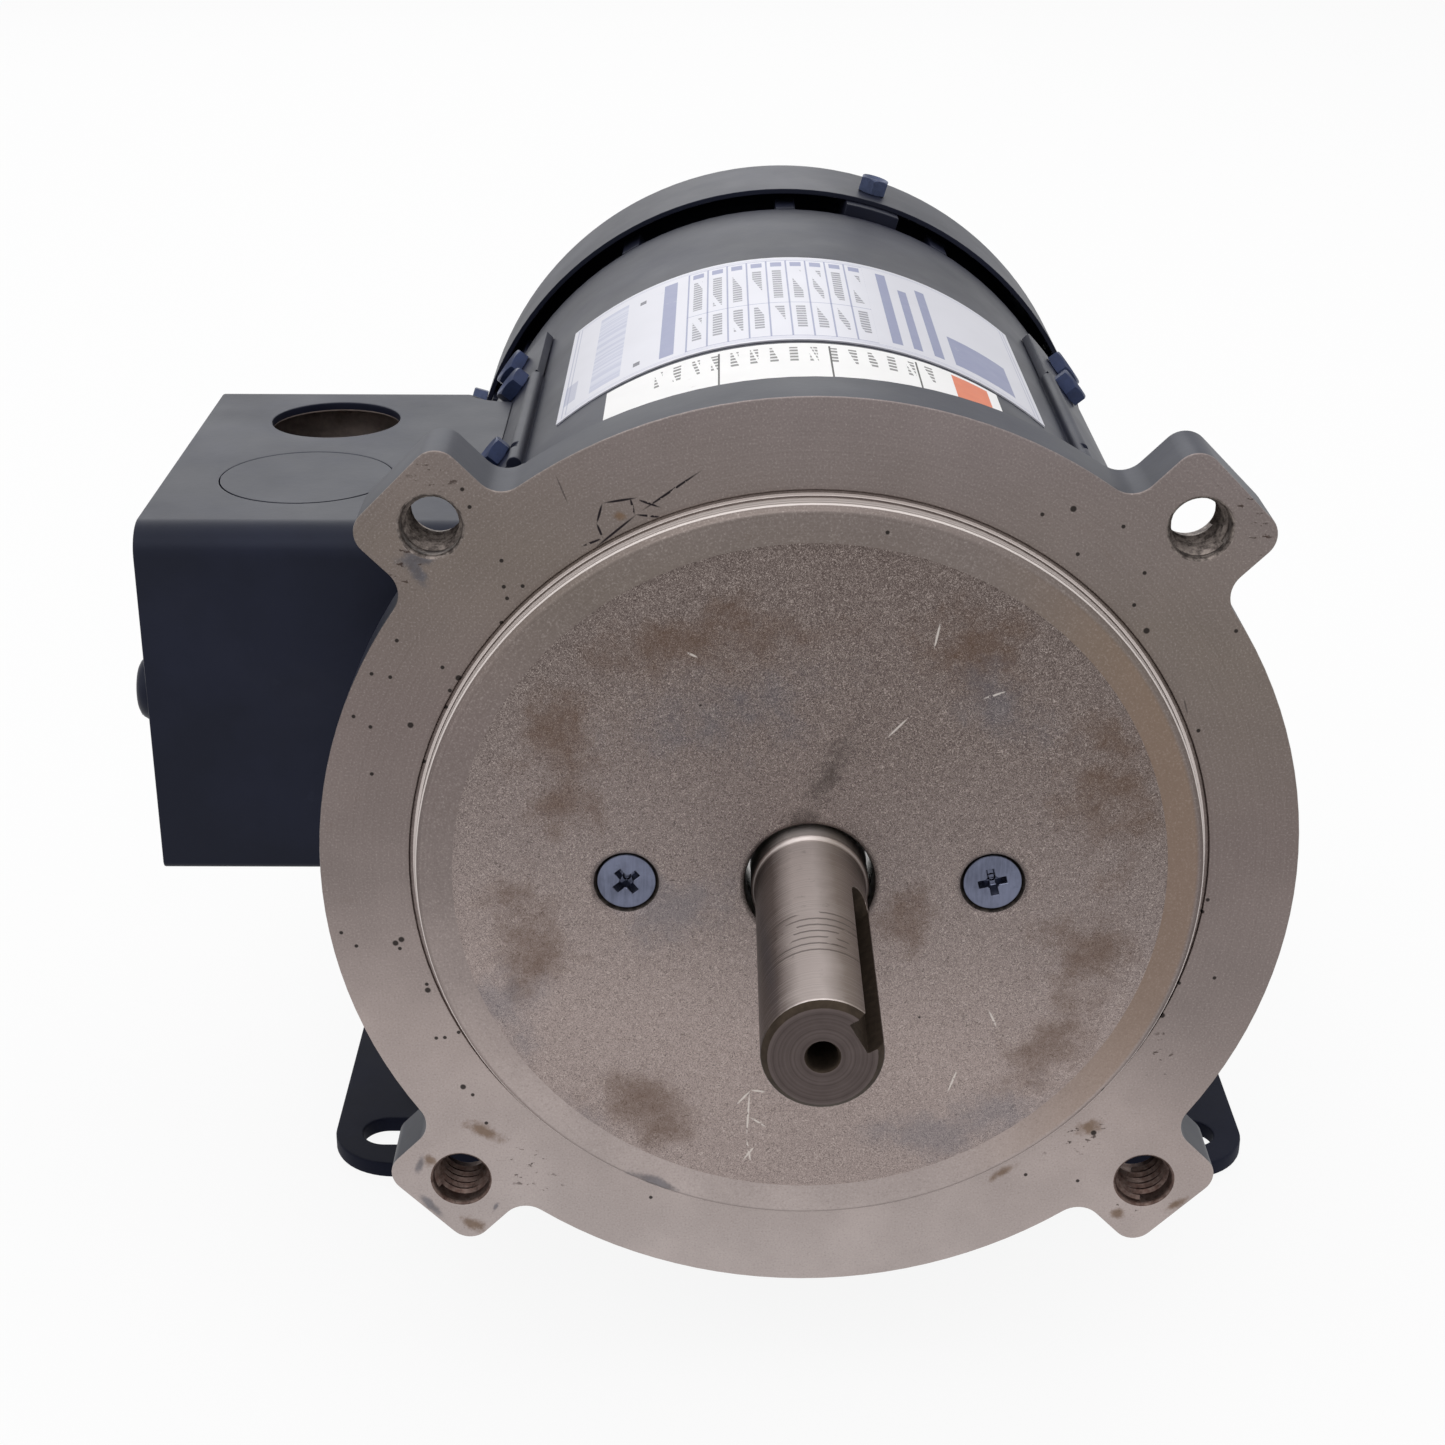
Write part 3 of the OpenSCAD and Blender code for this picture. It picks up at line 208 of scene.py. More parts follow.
class Finish:
    """A material being built. Places are in millimetres from the mounting face and the shaft's axis."""

    def __init__(self, name):
        self.colours = bpy.context.scene.motor_colours
        self.material = bpy.data.materials.new(name)
        self.material.use_nodes = True
        self.tree = self.material.node_tree
        self.tree.nodes.clear()
        self.spot = self.node("ShaderNodeMapping", {}, {
            "Vector": self.node("ShaderNodeTexCoord", {}, {}, "Object"),
            "Location": (0, -FACE_Y / MM, -AXIS_Z / MM), "Scale": (1 / MM,) * 3})
        self.x, self.d, self.h = (self.part(self.spot, axis) for axis in range(3))

    def node(self, kind, settings, sockets, output=0):
        made = self.tree.nodes.new(kind)
        for key, value in settings.items():
            if key == "stops":
                ramp = made.color_ramp
                while len(ramp.elements) < len(value):
                    ramp.elements.new(1)
                for element, (place, shade) in zip(ramp.elements, value):
                    element.position, element.color = place, (*shade, 1)
            else:
                setattr(made, key, value)
        for key, value in sockets.items():
            if isinstance(value, Value):
                self.tree.links.new(value.socket, made.inputs[key])
            else:
                made.inputs[key].default_value = value
        return Value(self, made.outputs[output]) if made.outputs else None

    def part(self, vector, axis):
        return self.node("ShaderNodeSeparateXYZ", {}, {0: vector}, axis)

    def join(self, x, y, z):
        return self.node("ShaderNodeCombineXYZ", {}, {0: x, 1: y, 2: z})

    @property
    def radius(self):
        return (self.x * self.x + self.h * self.h).root()

    @property
    def clock(self):
        """Degrees clockwise from the top, as seen from the shaft end."""
        return self.x.math("ARCTAN2", self.x, self.h) * math.degrees(1)

    def noise(self, size, detail=3, rough=0.55, stretch=None, bend=0):
        """Noise with features of about the given size in millimetres."""
        place = self.spot
        if stretch:
            place = self.node("ShaderNodeMapping", {}, {"Vector": place, "Scale": stretch})
        return self.node("ShaderNodeTexNoise", {}, {
            "Vector": place, "Scale": 1 / size, "Detail": detail, "Roughness": rough, "Distortion": bend})

    def line_noise(self, value, size, detail=2):
        return self.node("ShaderNodeTexNoise", {"noise_dimensions": "1D"},
                         {"W": value, "Scale": 1 / size, "Detail": detail})

    def ramp(self, value, low, high):
        """0 below low, 1 above high."""
        return self.node("ShaderNodeMapRange", {"interpolation_type": "SMOOTHSTEP"},
                         {0: value, 1: low, 2: high})

    def specks(self, size, share, fill=0.3):
        """Round specks: one in each cell of the given size, in a share of the cells."""
        cells = {"Vector": self.spot, "Scale": 1 / size}
        near = self.node("ShaderNodeTexVoronoi", {}, cells, "Distance")
        chance = self.part(self.node("ShaderNodeTexVoronoi", {}, cells, "Color"), 0)
        return self.ramp(near + (chance - share) * 9 * (chance > share), fill, fill * 0.6)

    def mix(self, factor, *colours):
        """The first colour where the factor is 0, the second where it is 1; either may be a written one."""
        first, second = (c if isinstance(c, Value) else (*(linear(c) if isinstance(c, str) else c), 1)
                         for c in colours)
        return self.node("ShaderNodeMix", {"data_type": "RGBA", "clamp_factor": True},
                         {0: factor, 6: first, 7: second}, 2)

    def coat(self, mask, colour):
        """Lays a colour over the finish's shade where the mask is 1."""
        self.shade = self.mix(mask, self.shade, colour)

    def nearest(self, marks):
        """Distance on the mounting face to the nearest of the oval marks, 1 at a mark's edge."""
        flat, least = self.join(self.x, 0, self.h), None
        for x, h, long, wide, turn in marks:
            place = self.node("ShaderNodeMapping", {"vector_type": "TEXTURE"}, {
                "Vector": flat, "Location": (x, 0, h), "Rotation": (0, math.radians(-turn), 0),
                "Scale": (long, 1, wide)})
            away = self.node("ShaderNodeVectorMath", {"operation": "LENGTH"}, {0: place}, "Value")
            least = away if least is None else least.least(away)
        return least

    def dots(self, size, *places):
        """1 inside round dots of one size at the places (x, h)."""
        flat, least = self.join(self.x, 0, self.h), None
        for x, h in places:
            away = self.node("ShaderNodeVectorMath", {"operation": "DISTANCE"},
                             {0: flat, 1: (x, 0, h)}, "Value")
            least = away if least is None else least.least(away)
        return self.ramp(least, size, size * 0.6)

    def spots(self, marks, soft=0.5, ragged=0.0, size=2.0):
        """1 inside oval marks (x, h, half length, half width, degrees up from level), with ragged edges."""
        away = self.nearest(marks)
        if ragged:
            away = away + (self.noise(size, 5, 0.65) - 0.5) * 2 * ragged
        return self.ramp(away, 1, 1 - soft)

    def lines(self, paths, width, broken=0.0):
        """Thin lines on the mounting face along paths of points."""
        marks = []
        for path in paths:
            for (x0, h0), (x1, h1) in zip(path, path[1:]):
                long = math.hypot(x1 - x0, h1 - h0)
                marks.append(((x0 + x1) / 2, (h0 + h1) / 2, long / 2 + width, width,
                              math.degrees(math.atan2(h1 - h0, x1 - x0))))
        return self.spots(marks) * (self.noise(1.1, 2) > broken)

    def tones(self, value, low, high, *codes):
        """Colours laid evenly from low to high."""
        stops = [(n / (len(codes) - 1), linear(code)) for n, code in enumerate(codes)]
        return self.node("ShaderNodeValToRGB", {"stops": stops}, {0: (value - low) / (high - low)})

    def done(self, roughness, metallic, height, strength, **constants):
        """Closes the material; the height is in millimetres."""
        normal = self.node("ShaderNodeBump", {}, {"Height": height, "Distance": MM, "Strength": strength})
        sockets = {"Base Color": self.shade, "Roughness": roughness, "Metallic": metallic, "Normal": normal,
                   **{key.replace("_", " "): value for key, value in constants.items()}}
        surface = self.node("ShaderNodeBsdfPrincipled", {}, sockets)
        self.node("ShaderNodeOutputMaterial", {}, {"Surface": surface})
        return self.material


def shaded(base, factor):
    """The colour made lighter or darker."""
    return tuple(min(1, c * factor) for c in base)

# ---------------------------------------------------------------- finishes


def satin_paint(edge_wear_and_highlight=False, matt=False):
    """Blue-black paint with orange peel, dust and chips; its first flag is for broken edges, with more chips and a
    painted lighter edge highlight, and matt is for the foot.
    """
    f = Finish(("matt" if matt else "satin") + "_paint" + ("_worn" if edge_wear_and_highlight else ""))
    base = f.colours.paint
    f.shade = f.mix(f.ramp(f.noise(26, 4, 0.6), 0.35, 0.7), shaded(base, 0.8), shaded(base, 1.3))
    dust = f.noise(3.2, 6, 0.7) * f.ramp(f.noise(40, 3), 0.45, 0.75)
    f.coat(dust * 0.05, "7a7a80")
    scuff = f.ramp(f.noise(9, 5, 0.7, stretch=(1, 0.25, 1)), 0.62, 0.8)
    f.coat(scuff * 0.05, "5d6478")
    chips = f.specks(19, 0.11, 0.04).most(f.specks(7, 0.03, 0.045))
    if edge_wear_and_highlight:
        chips = chips.most(f.ramp(f.noise(1.6, 5, 0.75), 0.64, 0.68) * f.ramp(f.noise(22, 2), 0.52, 0.64))
        # Painted highlight: the broken edges made lighter and bluer all along, besides their chips.
        f.coat(0.3, "5a6076")
    f.coat(chips, "b9b8b6")
    peel = f.noise(1.1, 2) * 0.012 + f.noise(0.3, 2) * 0.003
    rough = (0.55 if matt else 0.36) + f.noise(14, 4) * 0.14 + dust * 0.1 + chips * 0.2
    return f.done(rough, 0.0, peel - chips * 0.05, 1.0, Specular_IOR_Level=0.1 if matt else 0.21,
                  Specular_Tint=(*f.colours.gloss, 1))


# Pits and scratches of the face: places across and up from the shaft's axis, in millimetres.
LARGE_PITS = ((-49.8, 30.5), (-59.9, -11), (-60.8, -11.6), (46.4, 37.9), (35.1, 55.6), (53.3, -23.5),
              (45, -34.9), (-56.4, -19.5), (-51.8, -36.2), (44.4, -44.1), (-56.9, 23.3))
SMALL_PITS = ((-43, 44.1), (-40.4, 44.2), (-42.6, 42.4), (-43.5, 38.8), (-58.2, 36.1), (-52, 32.1),
              (-62, 31.1), (-59.4, 30.6), (-51.1, 28.6), (-51.8, 25.9), (-64.9, 24.6), (-62.6, 23),
              (-55.3, 17.5), (-62.8, 15.7), (-68.7, -9.9), (-66.6, -12.1), (-60.2, -12.5),
              (-56.5, -18.5), (-55.5, -27.7), (-54.2, -27.6), (-52.1, -26.7), (-50.4, -37.6),
              (-48.5, -42.6), (-23.5, -56), (36.1, 49.1), (42.1, 53.1), (30.9, 54.8), (45.5, 46.4),
              (44.4, 41.7), (54.9, 22.8), (58.9, 37.9), (-48.2, 58.1), (-47.3, 55.6), (-43.2, 47.9),
              (9.6, 53.2), (58.5, -4.1), (57.9, -6.1), (60.6, -17.1), (55.4, -18), (42.5, -52.8),
              (34.4, -51.7))
SCRATCHES = (((-32.1, 50), (-29.2, 51.2), (-30, 53.3), (-29.2, 56.2), (-24.3, 57)),
             ((-30.5, 49.6), (-24.3, 54.8), (-15.2, 61.2)), ((-25.4, 57), (-24.8, 54.6), (-20.9, 54.2)),
             ((-24.6, 56.8), (-21.2, 55.6)))
HAIR_LINES = (((13.1, 51.1), (17.5, 47.5)), ((52.4, 27.8), (53.2, 25.2)), ((-35.5, 60.3), (-33.8, 55.9)))
BRIGHT_LINES = (((-8.4, -34.5), (-8.8, -43), (-8.1, -47.5)), ((-10.4, -37.1), (-8.2, -34.5), (-6, -34.8)),
                ((-8.6, -39), (-5.8, -41)), ((-9.4, -47), (-7.2, -43.8)), ((17.3, 40.5), (16.5, 36.2)),
                ((23.6, 29), (27, 30.2)), ((10.4, 23), (13.4, 26.2)), ((-17.6, 35.8), (-16.2, 35.1)),
                ((22.7, -30.6), (21.3, -34.9)), ((26.8, -20.6), (28.2, -23.6)))

# Oval marks of the face: place across and up, half length, half width (millimetres) and turn (degrees).
RUST = ((-57.5, -49.4, 1.4, 1.4, 0), (-51, -61, 3, 1.6, -25), (49.1, -58.9, 1.5, 1.3, 0),
        (58.1, -57, 2.6, 1, 35), (43.6, -43.2, 3, 1.6, 20), (-49, -44, 4.5, 1.6, -30),
        (30.6, -51.4, 3.2, 0.9, 35), (-26.9, 54.5, 1.3, 1, 0))
SMEARS = ((-55, 46.6, 4.2, 1.2, -62), (-54.5, 48.2, 3.6, 1.5, 10), (-57.6, -57.6, 3.4, 0.9, -48),
          (-59, -50, 2.2, 0.8, 70), (-23, -51, 6, 1.2, -24), (-47.6, -57.8, 1.3, 0.5, 65))
SPECKLED = ((-42.5, -50.5, 8, 4.5, -40), (42, -45, 8, 4, 35), (53.5, -30, 3, 6, 0), (57.5, 58, 7, 3, -45),
            (-52, 60, 5, 3, 0), (-56, 48, 4.5, 6, 0), (60.5, 51, 3, 4, 0), (50, -58, 5, 2.5, 20))
BROWN = ((41, -12, 13, 9, 70), (34, -28, 11, 8, 40), (41, 17, 8, 12, 10), (-35, 21, 9, 13, 0),
         (-41, -8, 8, 11, 10), (-25, -36, 12, 7, -30), (13, -4, 6, 8, 0), (-14, 38, 18, 7, 10),
         (22, 36, 10, 8, -30))
BLUISH = ((-12, 26, 18, 8, 15), (26, 28, 11, 6, -30), (29, -38, 12, 6, 20), (-34, -42, 10, 6, -40),
          (18, -42, 12, 5, 0), (-44, -20, 6, 10, 10), (-20, -4, 10, 9, 0))
STREAK = ((2.6, 18, 10, 2.6, 62), (-1, 10, 6, 3, 40))


def turned_face(edge_wear_and_highlight=False):
    """Turned ring, ears and register, with pits, scratches and old oil, painted shade darker towards the top and a
    painted highlight along the register's upper edge; its flag is for the broken edges, lightened there as rubbed
    metal and painted highlight.
    """
    f = Finish("turned_edge" if edge_wear_and_highlight else "turned_face")
    r, x, d, h = f.radius, f.x, f.d, f.h
    ring = r > REGISTER_R + 0.3
    wall = (d < -0.12) * (r > REGISTER_R - 0.3)
    # Painted shade: the tones run from lighter at the bottom to darker at the top, with a slight lean across and
    # some noise.
    painted_shade_rise = h + x * 0.15 + (f.noise(34, 3) - 0.5) * 22
    dark, stain, blue = "241f22", f.colours.stain, "5b6270"
    lines = f.line_noise(r, 0.35, 4)
    f.shade = f.tones(painted_shade_rise, -65, 70, "b3a8a5", "a99c98", "7f7471", "746865", "70665f", "7b7170")
    f.coat((1 - f.ramp(f.noise(13, 5, 0.6), 0.3, 0.75)) * 0.18, "4c4442")
    grain = f.noise(0.3, 2, 0.6)
    f.coat(f.ramp(grain, 0.5, 0.8) * 0.2, "d8ceca")
    f.coat(f.ramp(grain, 0.48, 0.25) * 0.25, "4c4442")
    f.coat(lines * 0.14, f.colours.face)
    f.coat(f.ramp(f.noise(9, 6, 0.72, bend=0.6), 0.6, 0.85) * 0.22, stain)
    f.coat(f.ramp(r, 56.3, 55.6) * f.ramp(x, 20, 50) * 0.4, "8a7058")
    band = f.line_noise(d, 0.5, 2)
    f.coat(wall, f.mix(f.ramp(band, 0.35, 0.6), "a1958f", "efe6e2"))
    # Painted highlight: a bright thin ring at the register's edge, on its upper part only.
    upper = f.ramp(h, -30, 10)
    f.coat(r.between(REGISTER_R + 0.1, REGISTER_R + 0.5) * upper * 0.7, "e6dcd8")
    # Painted shade: a faint dark ring just outside the register, all round its foot.
    f.coat(r.between(REGISTER_R + 0.5, REGISTER_R + 0.9) * 0.15, "3d3532")
    rust = f.spots(RUST, 0.8, 0.9, 1.6)
    f.coat(rust * 0.75 * ring, f.mix(f.noise(1.2, 4), "54402f", "7c634c"))
    smear = f.spots(SMEARS, 0.7, 0.8, 2.2)
    f.coat(smear * 0.6, f.mix(f.noise(1.4, 4), dark, blue))
    near = f.spots(SPECKLED, 0.6, 0.5, 4)
    speckle = f.ramp(f.noise(0.9, 3, 0.6, stretch=(0.5, 1, 1)), 0.6, 0.66)
    f.coat(speckle * near * 0.85, f.mix(f.noise(1.3, 3), dark, "4a3a30"))
    cut = f.lines(SCRATCHES, 0.22, 0.4).most(f.lines(HAIR_LINES, 0.16, 0.3) * 0.5)
    f.coat(cut * ring, dark)
    pits = f.dots(0.55, *LARGE_PITS).most(f.dots(0.36, *SMALL_PITS)).most(f.specks(7, 0.14, 0.032))
    f.coat(pits * (1 - wall) * 0.9, "1d1a19")
    nicks = f.specks(15, 0.2, 0.026)
    f.coat(nicks, "e4e0dc")
    if edge_wear_and_highlight:
        # Painted highlight, partly rubbed metal: the broken edges lightened all along.
        f.coat(0.5, "bdb6b2")
    return f.done(0.42 + lines * 0.08, 0.94 - wall * 0.7, lines * 0.004 - nicks * 0.02, 0.9)


def cast_centre():
    """As-cast centre of the drive end: fine grain, brown and bluish patches, fine bright scratches, and painted
    shade darker towards the top.
    """
    f = Finish("cast_centre")
    # Painted shade: the tones run from lighter at the bottom to darker at the top.
    painted_shade_rise = f.h + f.x * 0.15 + (f.noise(34, 3) - 0.5) * 22
    grain = f.noise(0.42, 3, 0.6, bend=3)
    f.shade = f.tones(painted_shade_rise, -50, 50, "a1938f", "a49692", "8a7e7b", "776b67", "6c605c")
    f.coat(f.ramp(grain, 0.48, 0.7) * 0.6, "cfc3bc")
    f.coat(f.ramp(grain, 0.52, 0.32) * 0.6, "352c29")
    brown = f.spots(BROWN, 1.0, 1.5, 9)
    f.coat(brown * (0.15 + f.noise(2.5, 5, 0.75) * 0.75), f.colours.stain)
    cool = f.spots(BLUISH, 1.0, 1.4, 8)
    f.coat(cool * 0.3, "5b6270")
    streak = f.spots(STREAK, 1.0, 1.2, 3.5)
    f.coat(streak * 0.55, "3a3330")
    f.coat(f.lines(BRIGHT_LINES, 0.2, 0.42) * 0.7, "ddd6d0")
    pits = f.specks(8, 0.1, 0.03)
    f.coat(pits * 0.8, "1d1a19")
    return f.done(0.6, 0.9, grain * 0.09 + f.noise(3, 3) * 0.04 - pits * 0.1, 0.9)


def raw_iron():
    """Unpainted inside of the drive end."""
    f = Finish("raw_iron")
    f.shade = f.mix(f.ramp(f.noise(0.8, 4), 0.35, 0.7), "2e2926", "544c47")
    return f.done(0.55 + f.noise(2, 3) * 0.1, 0.7, f.noise(0.7, 4) * 0.08, 0.9)


def shaft_steel(edge_wear_and_highlight=False):
    """Ground shaft: fine hoop lines, a painted reflection as a bright band along the top with darker sides,
    grooves rubbed in by wear, a sawn end and a rough keyway; its flag is for the broken edges.
    """
    f = Finish("shaft_steel_edge" if edge_wear_and_highlight else "shaft_steel")
    r, d = f.radius, f.d
    hoops = f.line_noise(d, 0.22, 4)
    # Painted reflection: the colour runs round the shaft from dark sides to a bright band a little left of the
    # top, with hoop lines and noise in its edges.
    side = f.clock + (hoops - 0.5) * 16 + (f.noise(4, 4) - 0.5) * 14
    f.shade = f.tones(side, -90, 90, "3a3330", "4b423f", "675c58", "c9beba", "d3c8c4", "93877f", "766a64",
                    "5f5550", "4b423f")
    f.coat(f.ramp(hoops, 0.5, 0.75) * 0.2, "fbf5f2")
    f.coat(f.ramp(hoops, 0.46, 0.28) * 0.2, "4b413d")
    band = (d - SHAFT_END).between(13, 25)
    groove = ((d - SHAFT_END) % 1.75 < 0.42) * band * (f.noise(5, 3) > 0.42)
    f.coat(groove * 0.6, "4b433f")
    f.coat(f.ramp(f.noise(2.2, 5, 0.7), 0.6, 0.72) * 0.3, "4a403a")
    wall = (r < SHAFT_R - 0.12) * (d < -5.5)
    end = d < SHAFT_END + 0.12
    rings = f.line_noise(r, 0.5, 3)
    f.coat(wall, f.mix(f.noise(1.5, 5), "241f1c", "54493f"))
    f.coat(end, f.mix(f.ramp(rings, 0.3, 0.7) * 0.5 + f.noise(2, 4) * 0.5, "5d5351", "7d7270"))
    nick = f.specks(6.5, 0.1, 0.05) * (1 - wall)
    f.coat(nick, "ebe8e5")
    rough = 0.3 + hoops * 0.1 + wall * 0.35 + end * 0.2
    turning = hoops * 0.02 * (1 - end)
    bump = turning - groove * 0.06 + wall * f.noise(0.8, 4) * 0.06 + end * rings * 0.006
    # Less metallic towards the top, so that the painted reflection band shows in the base colour.
    metal = 1 - f.ramp(abs(f.clock), 75, 20) * (1 - wall) * (1 - end) * 0.55
    if edge_wear_and_highlight:
        # Painted highlight, partly polished metal: the broken edges lighter and glossier all along.
        f.coat(0.6, "dcd8d4")
        rough = 0.22
    return f.done(rough, metal, bump, 0.8)


def plain_metal(name, shade, rough, grain, stain, share, metallic=1.0, stretch=None):
    """A plated or pressed metal with fine grain, cloudy tone and a little dirt."""
    f = Finish(name)
    cloud = f.noise(5, 4, 0.6)
    fine = f.noise(grain, 4, 0.6, stretch=stretch)
    f.shade = f.mix(f.ramp(cloud, 0.3, 0.7), shaded(shade, 0.75), shaded(shade, 1.2))
    f.coat(f.ramp(fine, 0.35, 0.7) * 0.4, shaded(shade, 1.5))
    f.coat(f.ramp(f.noise(2.4, 5, 0.7), 0.56, 0.74) * share, stain)
    return f.done(rough + fine * 0.14, metallic, fine * 0.012, 0.7)


def laminated_iron():
    """Stacked sheets, seen as fine rings along the core."""
    f = Finish("laminated_iron")
    sheet = f.d % 0.5 < 0.09
    f.shade = f.mix(f.noise(6, 4), "5d5f63", "8d8f92")
    f.coat(sheet * 0.6, "26241f")
    f.coat(f.ramp(f.noise(3, 5, 0.7), 0.55, 0.75) * 0.5, "6a4a35")
    return f.done(0.42 + f.noise(2, 3) * 0.15, 0.85, sheet * -0.05, 0.8)


def copper_windings():
    """Varnished windings, and bars with a dark brush track."""
    f = Finish("copper_windings")
    bars = f.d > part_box("commutator_bars")[0].y / MM - FACE_Y / MM - 0.5
    phase = f.clock * 2.2 + f.d * 1.3
    wires = phase.math("SINE", phase) * 0.5 + 0.5
    varnish = f.mix(wires, "6e2f14", "c46f38")
    varnish = f.mix(f.noise(8, 4) * 0.5, varnish, "8c4a1d")
    track = f.d.between(*((corner.y - FACE_Y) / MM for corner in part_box("brush_right")))
    bar = f.mix(f.line_noise(f.d, 0.3, 3), "b4653a", "dd9a68")
    bar = f.mix(track * 0.65, bar, "3e2a22")
    f.shade = f.mix(bars, varnish, bar)
    rough = 0.38 - bars * 0.1 + f.noise(3, 3) * 0.12
    return f.done(rough, 0.35 + bars * 0.6, wires * 0.14 * (1 - bars), 0.8)


def moulding(name, shade, rough, grain, fleck, depth):
    """Moulded or pressed non-metal with fine grain and flecks."""
    f = Finish(name)
    fine = f.noise(grain, 4, 0.6)
    f.shade = f.mix(f.ramp(f.noise(7, 4), 0.3, 0.7), shaded(shade, 0.8), shaded(shade, 1.3))
    f.coat(f.ramp(fine, 0.6, 0.8) * 0.3, fleck)
    f.coat(f.specks(2.6, 0.12, 0.08) * 0.5, fleck)
    return f.done(rough + fine * 0.18, 0.0, fine * depth, 0.8)


def lead_insulation():
    """One red and one black lead, with bare crimped ends left to their sleeves."""
    f = Finish("lead_insulation")
    upper = f.h > (LEADS_Z - AXIS_Z) / MM
    f.shade = f.mix(upper, "1c1c1f", "9c2a20")
    f.coat(f.ramp(f.noise(2.5, 4), 0.5, 0.8) * 0.35, "5c4f48")
    return f.done(0.45 + f.noise(1.2, 3) * 0.15, 0.0, f.noise(0.6, 3) * 0.02, 0.7)


def silver_label():
    """Silver label with plain blue rules and blocks and dark dashes, where the print would be."""
    f = Finish("silver_label")
    low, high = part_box("nameplate")
    v = f.d - (low.y - FACE_Y) / MM
    wide = (high.y - low.y) / MM
    u = f.clock * (math.radians(1) * SHELL_R)
    half = math.asin(high.x / MM / SHELL_R) * SHELL_R
    ink, grey = f.colours.ink, "4a4a58"

    def block(u0, u1, v0, v1):
        return u.between(u0, u1) * v.between(v0, v1)

    silver = f.mix(f.noise(12, 4), shaded(f.colours.silver, 0.93), shaded(f.colours.silver, 1.05))
    first, last, pitch = -19, 12.6, 3.51
    inside = block(first, last, 2.6, wide - 2.6)
    column = (u - first) % pitch
    rules = inside * (column < 0.3)
    across = sum(block(first, last, place, place + 0.3) for place in (2.6, wide - 2.9, wide * 0.42))
    head = inside * column.between(0.9, 2.9) * v.between(wide - 7.4, wide - 4)
    strips = block(-23.5, -21, 4, wide - 5) + block(15, 16.8, 5, wide - 5) + block(18.6, 20.2, 5, wide - 14)
    strips = strips + block(22.2, 24, 5, wide - 9) + block(26, 37.4, 5, 24)
    edges = [block(-half + inset, half - inset, inset, wide - inset) for inset in (1.1, 1.4, 1.9, 2.15)]
    lines = edges[0] - edges[1] + edges[2] - edges[3]
    broad = block(-36.5, -30.6, 5, wide - 6)
    f.shade = f.mix((rules + across) * 0.7 + (head + strips) * 0.75 + lines * 0.4, silver, ink)
    pale = f.mix(f.line_noise(v, 2.4, 1) > 0.5, "7f88ad", "a9aec4")
    f.coat(broad * 0.5, pale)
    f.coat(block(-42, -39.5, 8, 20) * 0.35, ink)
    f.coat(block(-28.2, -27, 6, 8.4) + block(-28.2, -27, wide - 12, wide - 9.6), grey)
    print_rows = v.between(8, wide * 0.38) + v.between(wide * 0.48, wide - 10)
    gaps = f.line_noise(u * 0.8 + v * 0.13, 2.6, 1) > 0.46
    dashes = inside * column.between(1.1, 2.7) * (v % 1.7 < 1.15) * print_rows * gaps
    f.coat(dashes * 0.8, grey)
    f.coat(f.ramp(f.noise(5, 6, 0.75), 0.66, 0.74) * 0.3, "a9a9b4")
    return f.done(0.34 + f.noise(3, 3) * 0.1, 0.2, f.noise(0.8, 3) * 0.004, 0.6)


def white_label():
    """White label with plain rules and dashes, and an orange patch at its right end."""
    f = Finish("white_label")
    low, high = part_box("connection_label")
    v = f.d - (low.y - FACE_Y) / MM
    wide = (high.y - low.y) / MM
    u = f.clock * (math.radians(1) * SHELL_R)
    white = f.mix(f.noise(9, 4), shaded(f.colours.sticker, 0.93), shaded(f.colours.sticker, 1.03))
    inside = v.between(wide - 11, wide - 2.5)
    ink = "3a3838"
    rules = sum(u.between(place, place + 0.3) for place in (-13.5, 4, 18)) * v.between(2, wide - 1.5)
    gaps = f.line_noise(u * 1.7 + v * 0.21, 3, 1) > 0.45
    rows = (u % 3.1).between(0.9, 2.2) * (v % 1.9 < 1.2) * inside * gaps * u.between(-24, 22)
    f.shade = f.mix(rules + rows * 0.8, white, ink)
    patch = u.between(24.2, 30.6) * v.between(wide - 15, wide - 1.4)
    f.coat(patch, f.mix(f.noise(3, 3), shaded(f.colours.patch, 0.85), f.colours.patch))
    f.coat(f.ramp(f.noise(4, 6, 0.75), 0.64, 0.74) * 0.3, "9a948e")
    return f.done(0.5 + f.noise(2, 3) * 0.12, 0.0, f.noise(0.7, 3) * 0.006, 0.6)


def rusty_thread():
    """Thread ridges in the ears, dark, with rust in the two lower ears."""
    f = Finish("rusty_thread")
    f.shade = f.mix(f.ramp(f.noise(1.3, 5, 0.7), 0.35, 0.65), "4a4340", "8c827c")
    low = f.h < 0
    f.coat(low * 0.6, f.mix(f.noise(2, 4), "3a2621", "6a4a40"))
    f.coat(f.ramp(f.noise(0.6, 4), 0.55, 0.7) * 0.5, "241e1c")
    return f.done(0.42 + f.noise(0.8, 3) * 0.2, 0.8, f.noise(0.5, 4) * 0.05, 0.8)


def bright_zinc():
    """Bluish zinc plate with fine scratches."""
    zinc = bpy.context.scene.motor_colours.zinc
    return plain_metal("bright_zinc", zinc, 0.3, 0.45, "3d4048", 0.4, stretch=(1, 1, 0.12))


